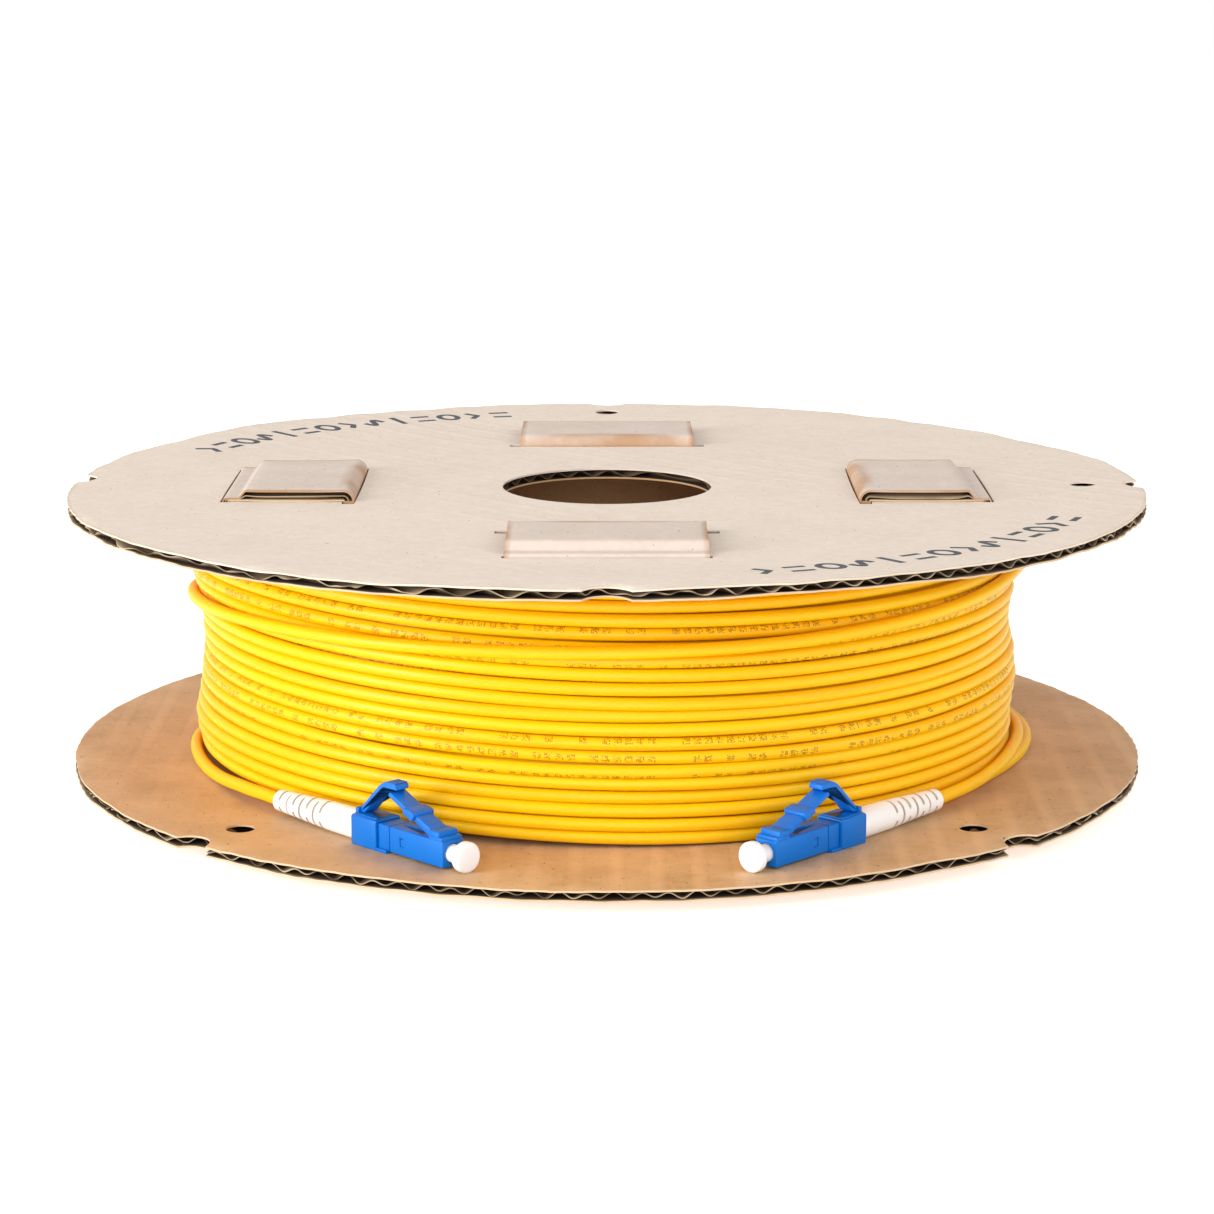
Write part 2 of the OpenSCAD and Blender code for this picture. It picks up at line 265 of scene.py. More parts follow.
def write_run(piece: bpy.types.Object, lengths: np.ndarray, sides: int) -> None:
    """Writes a tube's UV map: metres along it, and turns about it, at every face corner."""
    mesh = piece.data
    corner = np.empty(len(mesh.loops), dtype=np.int32)
    mesh.loops.foreach_get("vertex_index", corner)
    ring, side = corner // sides, (corner % sides) / sides
    start = np.empty(len(mesh.polygons), dtype=np.int32)
    total = np.empty(len(mesh.polygons), dtype=np.int32)
    mesh.polygons.foreach_get("loop_start", start)
    mesh.polygons.foreach_get("loop_total", total)
    least = np.minimum.reduceat(side, start)
    most = np.maximum.reduceat(side, start)
    wraps = np.repeat((most - least > 0.5) & (total == 4), total)
    side = np.where(wraps & (side < 0.5), side + 1.0, side)
    uv = np.stack([lengths[np.minimum(ring, len(lengths) - 1)] * MM, side], axis=-1)
    mesh.uv_layers.new(name="run").data.foreach_set("uv", uv.astype(np.float32).ravel())


# ---- Materials ----------------------------------------------------------------------------------


class Nodes:
    """Short calls for building one node tree."""

    def __init__(self, tree: bpy.types.NodeTree) -> None:
        """Works on the given tree."""
        self.tree = tree

    def add(self, kind: str, **settings: object) -> bpy.types.Node:
        """Adds a node of a type, with its settings."""
        node = self.tree.nodes.new(kind)
        for name, value in settings.items():
            setattr(node, name, value)
        return node

    def link(self, source: bpy.types.NodeSocket, target: bpy.types.NodeSocket) -> None:
        """Links an output to an input."""
        self.tree.links.new(source, target)

    def feed(self, socket: bpy.types.NodeSocket, value: object) -> None:
        """Gives an input a link, when the value is a socket, or else a plain value."""
        if isinstance(value, bpy.types.NodeSocket):
            self.link(value, socket)
        else:
            socket.default_value = value

    def math(self, operation: str, *values: object) -> bpy.types.NodeSocket:
        """A Math node of the named operation on sockets or numbers."""
        node = self.add("ShaderNodeMath", operation=operation)
        for socket, value in zip(node.inputs, values):
            self.feed(socket, value)
        return node.outputs[0]

    def mix(self, factor: object, first: object, second: object) -> bpy.types.NodeSocket:
        """A colour between two, by the factor."""
        node = self.add("ShaderNodeMix", data_type="RGBA")
        self.feed(node.inputs[MIX_FACTOR], factor)
        self.feed(node.inputs[MIX_FIRST], first)
        self.feed(node.inputs[MIX_SECOND], second)
        return node.outputs[MIX_RESULT]

    def span(
        self, value: object, low: float, high: float, to_low: float = 0.0, to_high: float = 1.0
    ) -> bpy.types.NodeSocket:
        """Maps a range of a value on another range, held at its ends."""
        node = self.add("ShaderNodeMapRange")
        for socket, number in zip(node.inputs, (value, low, high, to_low, to_high)):
            self.feed(socket, number)
        return node.outputs[0]

    def noise(
        self, vector: object, scale: float, detail: float, stretch: Triple = (1, 1, 1)
    ) -> bpy.types.NodeSocket:
        """Noise of a scale on a vector that is first stretched along its axes."""
        mapping = self.add("ShaderNodeMapping")
        mapping.inputs["Scale"].default_value = stretch
        self.feed(mapping.inputs["Vector"], vector)
        node = self.add("ShaderNodeTexNoise")
        self.link(mapping.outputs[0], node.inputs["Vector"])
        self.feed(node.inputs["Scale"], scale)
        self.feed(node.inputs["Detail"], detail)
        return node.outputs["Fac"]


def shader_group(
    name: str, inputs: dict[str, float], outputs: list[str]
) -> tuple[bpy.types.NodeTree, Nodes, dict, dict]:
    """Starts a shader node group with a vector input, number inputs and number outputs.

    Args:
        name: Name of the group.
        inputs: Number inputs and their defaults.
        outputs: Names of the outputs.

    Returns:
        The group, its node helper, its inputs by name and its output node's sockets by name.
    """
    group = bpy.data.node_groups.new(name, "ShaderNodeTree")
    group.interface.new_socket("Vector", in_out="INPUT", socket_type="NodeSocketVector")
    for key, default in inputs.items():
        socket = group.interface.new_socket(key, in_out="INPUT", socket_type="NodeSocketFloat")
        socket.default_value = default
    for key in outputs:
        group.interface.new_socket(key, in_out="OUTPUT", socket_type="NodeSocketFloat")
    build = Nodes(group)
    entry, leave = build.add("NodeGroupInput"), build.add("NodeGroupOutput")
    return group, build, {s.name: s for s in entry.outputs}, {s.name: s for s in leave.inputs}


class Groups:
    """The shader groups that several finishes share, each built once."""

    def __init__(self) -> None:
        """Builds every group."""
        self.paper = self.paper_fibre()
        self.plastic = self.moulded_grain()
        self.dots = self.dot_print()
        self.flutes = self.flute_show()

    @staticmethod
    def paper_fibre() -> bpy.types.NodeTree:
        """Kraft paper: cloudy pulp, short fibres two ways, dark flecks, and their height."""
        outputs = ["Cloud", "Fibre", "Fleck", "Height"]
        group, n, given, out = shader_group("paper fibre", {"Fleck": 0.5}, outputs)
        place = given["Vector"]
        cloud = n.noise(place, 75, 6)
        along = n.noise(place, 900, 4, (1, 0.42, 1))
        across = n.noise(place, 800, 4, (0.45, 1, 1))
        fibre = n.math("MAXIMUM", along, across)
        speck = n.noise(place, 1500, 1, (1, 0.5, 1))
        limit = n.math("SUBTRACT", 0.80, n.math("MULTIPLY", given["Fleck"], 0.12))
        n.link(n.span(cloud, 0.3, 0.7), out["Cloud"])
        n.link(n.span(fibre, 0.42, 0.75), out["Fibre"])
        n.link(n.math("GREATER_THAN", speck, limit), out["Fleck"])
        n.link(n.math("ADD", fibre, n.math("MULTIPLY", cloud, 0.5)), out["Height"])
        return group

    @staticmethod
    def moulded_grain() -> bpy.types.NodeTree:
        """Moulded plastic: a fine orange peel and broad handling marks."""
        group, n, given, out = shader_group("moulded grain", {"Scale": 900.0}, ["Peel", "Marks"])
        n.link(n.noise(given["Vector"], given["Scale"], 2), out["Peel"])
        n.link(n.span(n.noise(given["Vector"], 160, 5), 0.35, 0.7), out["Marks"])
        return group

    @staticmethod
    def dot_print() -> bpy.types.NodeTree:
        """Rows of printed dots along a cable that say nothing.

        The vector is metres along the cable and turns about it. The print line turns slowly about
        the cable, and shows only while it faces away from the spindle. Along it, every cell is a grid
        of dots with a bare end. A random half of its dots are inked, and some cells stay blank.
        """
        columns, inked_columns = 7.0, 5.0
        rows_per_turn, half_rows = 40.0, 3.5
        dot_share = 0.8
        first_turn, shown_turn = 0.46, 0.16
        bare_dots, blank_cells = 0.46, 0.22
        group, n, given, out = shader_group("dot print", {"Cell": 0.0019, "Twist": 0.27}, ["Ink"])
        split = n.add("ShaderNodeSeparateXYZ")
        n.link(given["Vector"], split.inputs[0])
        run, turn = split.outputs[0], split.outputs[1]
        cells = n.math("DIVIDE", run, given["Cell"])
        cell = n.math("FLOOR", cells)
        column = n.math("FLOOR", n.math("MULTIPLY", n.math("FRACT", cells), columns))
        line = n.math("FRACT", n.math("ADD", n.math("MULTIPLY", run, given["Twist"]), first_turn))
        off = n.math("SUBTRACT", turn, line)
        off = n.math("SUBTRACT", off, n.math("ROUND", off))
        rows = n.math("MULTIPLY", off, rows_per_turn)
        row = n.math("FLOOR", rows)
        key = n.add("ShaderNodeCombineXYZ")
        for socket, part in zip(key.inputs, (cell, column, row)):
            n.link(part, socket)
        draw = n.add("ShaderNodeTexWhiteNoise", noise_dimensions="3D")
        n.link(key.outputs[0], draw.inputs["Vector"])
        gap = n.add("ShaderNodeTexWhiteNoise", noise_dimensions="1D")
        n.link(cell, gap.inputs["W"])
        inked = n.math("GREATER_THAN", draw.outputs[0], bare_dots)
        aside = n.math("ABSOLUTE", n.math("SUBTRACT", line, n.math("ROUND", line)))
        for test in (
            n.math("LESS_THAN", n.math("ABSOLUTE", rows), half_rows),
            n.math("LESS_THAN", aside, shown_turn),
            n.math("LESS_THAN", column, inked_columns),
            n.math("GREATER_THAN", gap.outputs[0], blank_cells),
            n.math("LESS_THAN", n.math("FRACT", rows), dot_share),
            n.math("LESS_THAN", n.math("FRACT", n.math("MULTIPLY", cells, columns)), dot_share),
        ):
            inked = n.math("MULTIPLY", inked, test)
        n.link(inked, out["Ink"])
        return group

    @staticmethod
    def flute_show() -> bpy.types.NodeTree:
        """Stripes where the flutes show through a liner: a soft wave along X, uneven in strength."""
        group, n, given, out = shader_group("flute show", {"Pitch": 0.0068}, ["Stripe"])
        split = n.add("ShaderNodeSeparateXYZ")
        n.link(given["Vector"], split.inputs[0])
        phase = n.math("MULTIPLY", n.math("DIVIDE", split.outputs[0], given["Pitch"]), FULL)
        wave = n.span(n.math("SINE", phase), 0.2, 1.0)
        uneven = n.span(n.noise(given["Vector"], 14, 2, (1, 0.5, 1)), 0.4, 0.62)
        n.link(n.math("MULTIPLY", wave, uneven), out["Stripe"])
        return group


def colour(red: float, green: float, blue: float) -> Colour:
    """A colour given as it looks on screen, 0 to 255, as the linear values that shaders use."""
    def linear(v: float) -> float:
        """One channel: the sRGB curve undone."""
        v /= 255.0
        return v / 12.92 if v <= 0.04045 else ((v + 0.055) / 1.055) ** 2.4
    return (linear(red), linear(green), linear(blue), 1.0)


def scaled(tone: Colour, gain: float) -> Colour:
    """A tone made lighter or darker by a gain, and never past white."""
    return tuple(min(1.0, gain * v) for v in tone[:3]) + (1.0,)


class Where(Enum):
    """Which coordinates a finish reads."""

    OBJECT = "Object"
    RUN = "UV"


@dataclass(frozen=True)
class Finish:
    """What every finish has: a name, its tones and how rough it is."""

    name: str
    base: Colour
    shade: Colour
    roughness: float = 0.5

    def start(
        self, where: Where = Where.OBJECT
    ) -> tuple[bpy.types.Material, Nodes, bpy.types.Node, bpy.types.NodeSocket]:
        """Makes the material and gives it, its helper, its shader and its coordinates."""
        material = bpy.data.materials.new(self.name)
        material.use_nodes = True
        material.node_tree.nodes.clear()
        n = Nodes(material.node_tree)
        shader = n.add("ShaderNodeBsdfPrincipled")
        n.link(shader.outputs[0], n.add("ShaderNodeOutputMaterial").inputs[0])
        shader.inputs["Roughness"].default_value = self.roughness
        place = n.add("ShaderNodeTexCoord").outputs[where.value]
        return material, n, shader, place

    @staticmethod
    def bump(
        n: Nodes, shader: bpy.types.Node, height: bpy.types.NodeSocket, strength: float, depth: float
    ) -> None:
        """Feeds the shader's normal from a height, of a depth in metres."""
        node = n.add("ShaderNodeBump")
        node.inputs["Strength"].default_value = strength
        node.inputs["Distance"].default_value = depth
        n.link(height, node.inputs["Height"])
        n.link(node.outputs[0], shader.inputs["Normal"])


@dataclass(frozen=True)
class Kraft(Finish):
    """Kraft paper. Flutes show through it by `stripe`, and worn edges take the tone `wear`.

    The shares say how much of the pale fibres and dark flecks is laid over the pulp, the gains
    how light and dark they are against it, and `sheen` how much it reflects. On the fluted medium and
    on the liner faces inside the flutes the base tones are painted shade, and their `wear` tone at the
    cut rim marks the worn, torn edge and also where that shade ends.
    """

    fleck: float = 0.5
    stripe: float = 0.0
    stripe_turn: float = 0.0
    mottle: float = 0.35
    wear: Colour | None = None
    sheen: float = 0.25
    fibre_share: float = 0.34
    fleck_share: float = 0.6
    pale_gain: float = 1.22
    dark_gain: float = 0.45
    stripe_height: float = 1.5
    grain_depth: float = 0.00012

    def make(self, groups: Groups) -> bpy.types.Material:
        """Builds the material: mottled pulp, pale fibres, dark flecks and stripes over the flutes."""
        material, n, shader, place = self.start()
        fibre = n.add("ShaderNodeGroup")
        fibre.node_tree = groups.paper
        n.link(place, fibre.inputs["Vector"])
        fibre.inputs["Fleck"].default_value = self.fleck
        tone = n.mix(n.math("MULTIPLY", fibre.outputs["Cloud"], self.mottle), self.base, self.shade)
        pale, dark = scaled(self.base, self.pale_gain), scaled(self.shade, self.dark_gain)
        tone = n.mix(n.math("MULTIPLY", fibre.outputs["Fibre"], self.fibre_share), tone, pale)
        tone = n.mix(n.math("MULTIPLY", fibre.outputs["Fleck"], self.fleck_share), tone, dark)
        height = fibre.outputs["Height"]
        if self.stripe > 0:
            turned = n.add("ShaderNodeMapping")
            turned.inputs["Rotation"].default_value = (0, 0, self.stripe_turn)
            n.link(place, turned.inputs["Vector"])
            flutes = n.add("ShaderNodeGroup")
            flutes.node_tree = groups.flutes
            n.link(turned.outputs[0], flutes.inputs["Vector"])
            tone = n.mix(n.math("MULTIPLY", flutes.outputs["Stripe"], self.stripe), tone, pale)
            raised = n.math("MULTIPLY", flutes.outputs["Stripe"], self.stripe_height)
            height = n.math("ADD", height, raised)
        if self.wear is not None:
            worn = n.add("ShaderNodeAttribute", attribute_name="wear").outputs["Fac"]
            rough_edge = n.math("MULTIPLY", worn, n.span(fibre.outputs["Cloud"], 0.1, 0.6, 0.45, 1.0))
            tone = n.mix(rough_edge, tone, self.wear)
        n.link(tone, shader.inputs["Base Color"])
        rough = n.span(fibre.outputs["Fibre"], 0, 1, self.roughness - 0.05, self.roughness + 0.08)
        n.link(rough, shader.inputs["Roughness"])
        shader.inputs["Specular IOR Level"].default_value = self.sheen
        self.bump(n, shader, height, 0.35, self.grain_depth)
        return material


@dataclass(frozen=True)
class Jacket(Finish):
    """A cable's jacket: satin, faintly uneven, with a line of printed dots where ink is set."""

    ink: Colour | None = None
    ink_share: float = 0.86
    grain_depth: float = 0.00006

    def make(self, groups: Groups) -> bpy.types.Material:
        """Builds the material from the run of the cable: slow tone changes, print and fine draw lines."""
        material, n, shader, run = self.start(Where.RUN)
        slow = n.span(n.noise(run, 9, 2, (1, 0.3, 1)), 0.35, 0.65)
        tone = n.mix(slow, self.base, self.shade)
        if self.ink is not None:
            dots = n.add("ShaderNodeGroup")
            dots.node_tree = groups.dots
            n.link(run, dots.inputs["Vector"])
            tone = n.mix(n.math("MULTIPLY", dots.outputs["Ink"], self.ink_share), tone, self.ink)
        n.link(tone, shader.inputs["Base Color"])
        scuff = n.noise(run, 60, 4, (1, 2, 1))
        rough = n.span(scuff, 0.3, 0.7, self.roughness - 0.05, self.roughness + 0.09)
        n.link(rough, shader.inputs["Roughness"])
        shader.inputs["Specular IOR Level"].default_value = 0.35
        shader.inputs["Subsurface Weight"].default_value = 0.8
        shader.inputs["Subsurface Radius"].default_value = (1.0, 0.62, 0.05)
        shader.inputs["Subsurface Scale"].default_value = 0.0018
        draw_lines = n.noise(run, 30, 2, (0.4, 9, 1))
        self.bump(n, shader, draw_lines, 0.12, self.grain_depth)
        return material


@dataclass(frozen=True)
class Moulded(Finish):
    """A moulded plastic or rubber part."""

    peel: float = 900.0
    depth: float = 0.00002
    metallic: float = 0.0
    coat: float = 0.0
    soft: float = 0.0

    def make(self, groups: Groups) -> bpy.types.Material:
        """Builds the material: broad marks in tone and roughness, and a fine peel in the surface."""
        material, n, shader, place = self.start()
        grain = n.add("ShaderNodeGroup")
        grain.node_tree = groups.plastic
        grain.inputs["Scale"].default_value = self.peel
        n.link(place, grain.inputs["Vector"])
        marks = grain.outputs["Marks"]
        n.link(n.mix(n.math("MULTIPLY", marks, 0.5), self.base, self.shade), shader.inputs["Base Color"])
        n.link(n.span(marks, 0, 1, self.roughness - 0.04, self.roughness + 0.08), shader.inputs["Roughness"])
        shader.inputs["Metallic"].default_value = self.metallic
        shader.inputs["Specular IOR Level"].default_value = 0.28
        shader.inputs["Coat Weight"].default_value = self.coat
        shader.inputs["Coat Roughness"].default_value = 0.15
        if self.soft > 0:
            shader.inputs["Subsurface Weight"].default_value = self.soft
            shader.inputs["Subsurface Radius"].default_value = (1.0, 0.95, 0.9)
            shader.inputs["Subsurface Scale"].default_value = 0.001
        self.bump(n, shader, grain.outputs["Peel"], 0.25, self.depth)
        return material


PALE_FIBRE = colour(214, 196, 173)
FINISHES = {
    "upper_liner": Kraft("upper liner", colour(231, 216, 201), colour(217, 198, 180), 0.8, fleck=0.25,
                         stripe=0.05, stripe_turn=math.radians(-45), wear=PALE_FIBRE),
    "lower_liner": Kraft("lower liner", colour(212, 178, 138), colour(180, 144, 102), 0.62, fleck=0.6,
                         stripe=0.34, mottle=0.9, wear=colour(205, 176, 140), sheen=0.8),
    "inner_liner": Kraft("inner liner", colour(196, 158, 116), colour(172, 132, 92), 0.8,
                         wear=colour(205, 180, 148)),
    # painted shade: the medium's dark tones stand for the shade inside the flutes; its wear tone at the cut
    # edge is the torn paper where that shade ends
    "medium": Kraft("fluted medium", colour(92, 74, 56), colour(66, 52, 38), 0.85,
                    wear=colour(176, 156, 128)),
    "tab": Kraft("tab liner", colour(218, 202, 190), colour(200, 181, 166), 0.8, fleck=0.35,
                 wear=colour(178, 132, 88)),
    # painted shade: a dark tone for the liner faces inside the flutes, lighter where they reach the cut rim
    "flute_painted_shade": Kraft("liner in painted flute shade", colour(74, 58, 44), colour(54, 42, 32), 0.9,
                    wear=colour(196, 172, 140)),
    "core": Kraft("core board", colour(190, 150, 108), colour(160, 122, 84), 0.82),
    "ink": Moulded("printing ink", colour(84, 88, 94), colour(102, 106, 110), 0.7, peel=1500),
    "jacket": Jacket("yellow jacket", colour(255, 196, 0), colour(255, 186, 0), 0.38,
                     ink=colour(120, 78, 12)),
    "plug": Moulded("blue plug", colour(0, 112, 204), colour(0, 100, 190), 0.36),
    "lever": Moulded("blue lever", colour(16, 112, 208), colour(8, 98, 194), 0.36),
    # painted shade: a dark tone for thin sheets laid in the plug's recesses
    "recess_painted_shade": Moulded("shaded recess", colour(50, 66, 84), colour(36, 50, 68), 0.4),
    # painted shade: a darker tone for the faces deep in the boot's grooves
    "groove": Moulded("shaded groove", colour(206, 196, 182), colour(196, 184, 168), 0.6),
    "boot": Moulded("white boot", colour(250, 250, 250), colour(244, 244, 245), 0.45, soft=0.15),
    "cap": Moulded("white cap", colour(244, 245, 246), colour(234, 236, 240), 0.35, soft=0.35),
    "ceramic": Moulded("ceramic ferrule", colour(246, 246, 240), colour(238, 238, 232), 0.15, coat=0.5),
    "metal": Moulded("turned metal", colour(190, 190, 188), colour(168, 168, 166), 0.3,
                     metallic=1.0, peel=2200),
    "insert": Moulded("pale insert", colour(226, 226, 222), colour(214, 214, 210), 0.5),
}


class Paint:
    """Every material, made from its finish on first use."""

    def __init__(self) -> None:
        """Builds the shared groups."""
        self.groups = Groups()
        self.made: dict[str, bpy.types.Material] = {}

    def get(self, name: str) -> bpy.types.Material:
        """The material of a finish."""
        if name not in self.made:
            self.made[name] = FINISHES[name].make(self.groups)
        return self.made[name]

    def on(self, piece: bpy.types.Object, name: str) -> bpy.types.Object:
        """Gives a piece one finish, in place of any that it had."""
        piece.data.materials.clear()
        piece.data.materials.append(self.get(name))
        return piece


def finish_piece(piece: bpy.types.Object, body: str, slot: str, *nodes: str) -> bpy.types.Object:
    """Makes a piece ride on a body, and hides the nodes that it stands for."""
    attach(piece, body)
    if nodes:
        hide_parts(*nodes)
    LOG.info("%s: %d faces on %s", piece.name, len(piece.data.polygons), body)
    return piece


# ---- The reel's main sizes ----------------------------------------------------------------------


@dataclass(frozen=True)
class Layout:
    """Levels and radii that the pieces share, in millimetres, read from the frame."""

    rim_r: float
    bore_r: float
    lower_z: tuple[float, float]
    upper_z: tuple[float, float]
    core_r: float
    upper_fold_z: float
    lower_fold_z: float
    tab_l: float
    tab_w: float
    wound_r: float
    wound_z: tuple[float, float]

    @classmethod
    def read(cls, frame: dict) -> Layout:
        """Reads the levels from the nodes' boxes, the tabs' joints and the spindle's mount."""
        lower, upper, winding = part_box("lower_flange"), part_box("upper_flange"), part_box("cable_winding")
        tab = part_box("upper_tab_1")
        joints = {j["name"]: np.array(j["pos_m"]) / MM for j in frame["joints"] if "pos_m" in j}
        mounts = {m["name"]: m for m in frame["record"]["mounts"]}
        fold = joints["upper_tab_1_fold"]
        return cls(
            rim_r=upper[1].x / MM,
            bore_r=mounts["spindle_bore"]["dims"]["r_mm"],
            lower_z=(lower[0].z / MM, lower[1].z / MM),
            upper_z=(upper[0].z / MM, upper[1].z / MM),
            core_r=float(np.hypot(fold[0], fold[1])),
            upper_fold_z=float(fold[2]),
            lower_fold_z=float(joints["lower_tab_1_fold"][2]),
            tab_l=tab[1].x / MM - float(np.hypot(fold[0], fold[1])),
            tab_w=(tab[1].y - tab[0].y) / MM,
            wound_r=winding[1].x / MM,
            wound_z=(winding[0].z / MM, winding[1].z / MM),
        )


class PlugFrame:
    """A plug's own frame: +X runs from the boot to the cap, and +Z up. Its origin is the clip's back."""

    def __init__(self, side: str, frame: dict, reach: float) -> None:
        """Finds the frame from the mount at the plug's nose, `reach` ahead of the clip's back."""
        mount = next(m for m in frame["record"]["mounts"] if m["name"] == f"{side}_plug_nose")
        self.side = side
        self.ahead = np.array(mount["axis"], float)
        self.up = np.array([0.0, 0.0, 1.0])
        self.across = np.cross(self.up, self.ahead)
        self.origin = np.array(mount["pos_m"], float) / MM - reach * self.ahead

    def place(self, points: np.ndarray) -> np.ndarray:
        """Carries points from the plug's frame to the reel's."""
        p = np.asarray(points, float)
        return self.origin + p[..., :1] * self.ahead + p[..., 1:2] * self.across + p[..., 2:3] * self.up


# ---- Corrugated board ---------------------------------------------------------------------------


def inside(points: np.ndarray, loop: np.ndarray) -> np.ndarray:
    """True for each point inside a closed loop: a ray from it crosses the loop an odd number of times."""
    x, y = points[:, 0][:, None], points[:, 1][:, None]
    a, b = loop, np.roll(loop, -1, axis=0)
    spans = (a[:, 1] > y) != (b[:, 1] > y)
    rise = np.where(b[:, 1] == a[:, 1], 1.0, b[:, 1] - a[:, 1])
    hits = spans & (x < (b[:, 0] - a[:, 0]) * (y - a[:, 1]) / rise + a[:, 0])
    return hits.sum(axis=1) % 2 == 1


@dataclass
class FlatCut:
    """A flat sheet cut to a loop with holes, filled with triangles."""

    rim: np.ndarray
    holes: list[np.ndarray]
    fill: np.ndarray

    def triangles(self) -> tuple[np.ndarray, np.ndarray]:
        """Triangulates the sheet.

        A constrained Delaunay triangulation of every loop and fill point. A triangle is kept when its
        middle lies inside the rim and outside every hole.

        Returns:
            Flat points, and triangles that run counter-clockwise.
        """
        keep = inside(self.fill, self.rim)
        for hole in self.holes:
            keep &= ~inside(self.fill, hole)
        points, edges, start = [], [], 0
        for loop in (self.rim, *self.holes):
            count = len(loop)
            points.append(loop)
            edges += [(start + i, start + (i + 1) % count) for i in range(count)]
            start += count
        points.append(self.fill[keep])
        flat = np.concatenate(points)
        made = delaunay_2d_cdt([Vector(p) for p in flat.tolist()], edges, [], 0, 1e-6, False)
        out = np.array([tuple(v) for v in made[0]], float)
        tris = np.array([f for f in made[2] if len(f) == 3], int)
        middle = out[tris].mean(axis=1)
        good = inside(middle, self.rim)
        for hole in self.holes:
            good &= ~inside(middle, hole)
        tris = tris[good]
        a, b, c = (out[tris[:, i]] for i in range(3))
        area = (b[:, 0] - a[:, 0]) * (c[:, 1] - a[:, 1]) - (b[:, 1] - a[:, 1]) * (c[:, 0] - a[:, 0])
        tris[area < 0] = tris[area < 0][:, ::-1]
        return out, tris[np.abs(area) > 1e-9]


def sheet_shell(flat: np.ndarray, tris: np.ndarray, top: np.ndarray, low: np.ndarray) -> Shell:
    """The closed shell of a triangulated sheet between two heights at every point."""
    count = len(flat)
    sides = np.concatenate([tris[:, [0, 1]], tris[:, [1, 2]], tris[:, [2, 0]]])
    code = sides[:, 0] * count + sides[:, 1]
    back = sides[:, 1] * count + sides[:, 0]
    edge = sides[~np.isin(code, back)]
    wall = np.stack([edge[:, 0], edge[:, 0] + count, edge[:, 1] + count, edge[:, 1]], axis=-1)
    points = np.concatenate([np.column_stack([flat, top]), np.column_stack([flat, low])])
    return points, tris.tolist() + (tris[:, ::-1] + count).tolist() + wall.tolist()


def circle(centre: tuple[float, float], radius: float, count: int, start: float = 0.0) -> np.ndarray:
    """Points round a circle, counter-clockwise from a starting angle, each of them once."""
    a = start + np.arange(count) * FULL / count
    return np.stack([centre[0] + radius * np.cos(a), centre[1] + radius * np.sin(a)], axis=-1)


def turned(points: np.ndarray, degrees: float) -> np.ndarray:
    """Flat points turned about the spindle axis."""
    a = math.radians(degrees)
    c, s = math.cos(a), math.sin(a)
    return points @ np.array([[c, s], [-s, c]])


def write_wear(piece: bpy.types.Object, wear: np.ndarray) -> None:
    """Writes how worn each point is, 0 to 1, for the paper finishes."""
    piece.data.attributes.new("wear", "FLOAT", "POINT").data.foreach_set("value", wear.astype(np.float32))


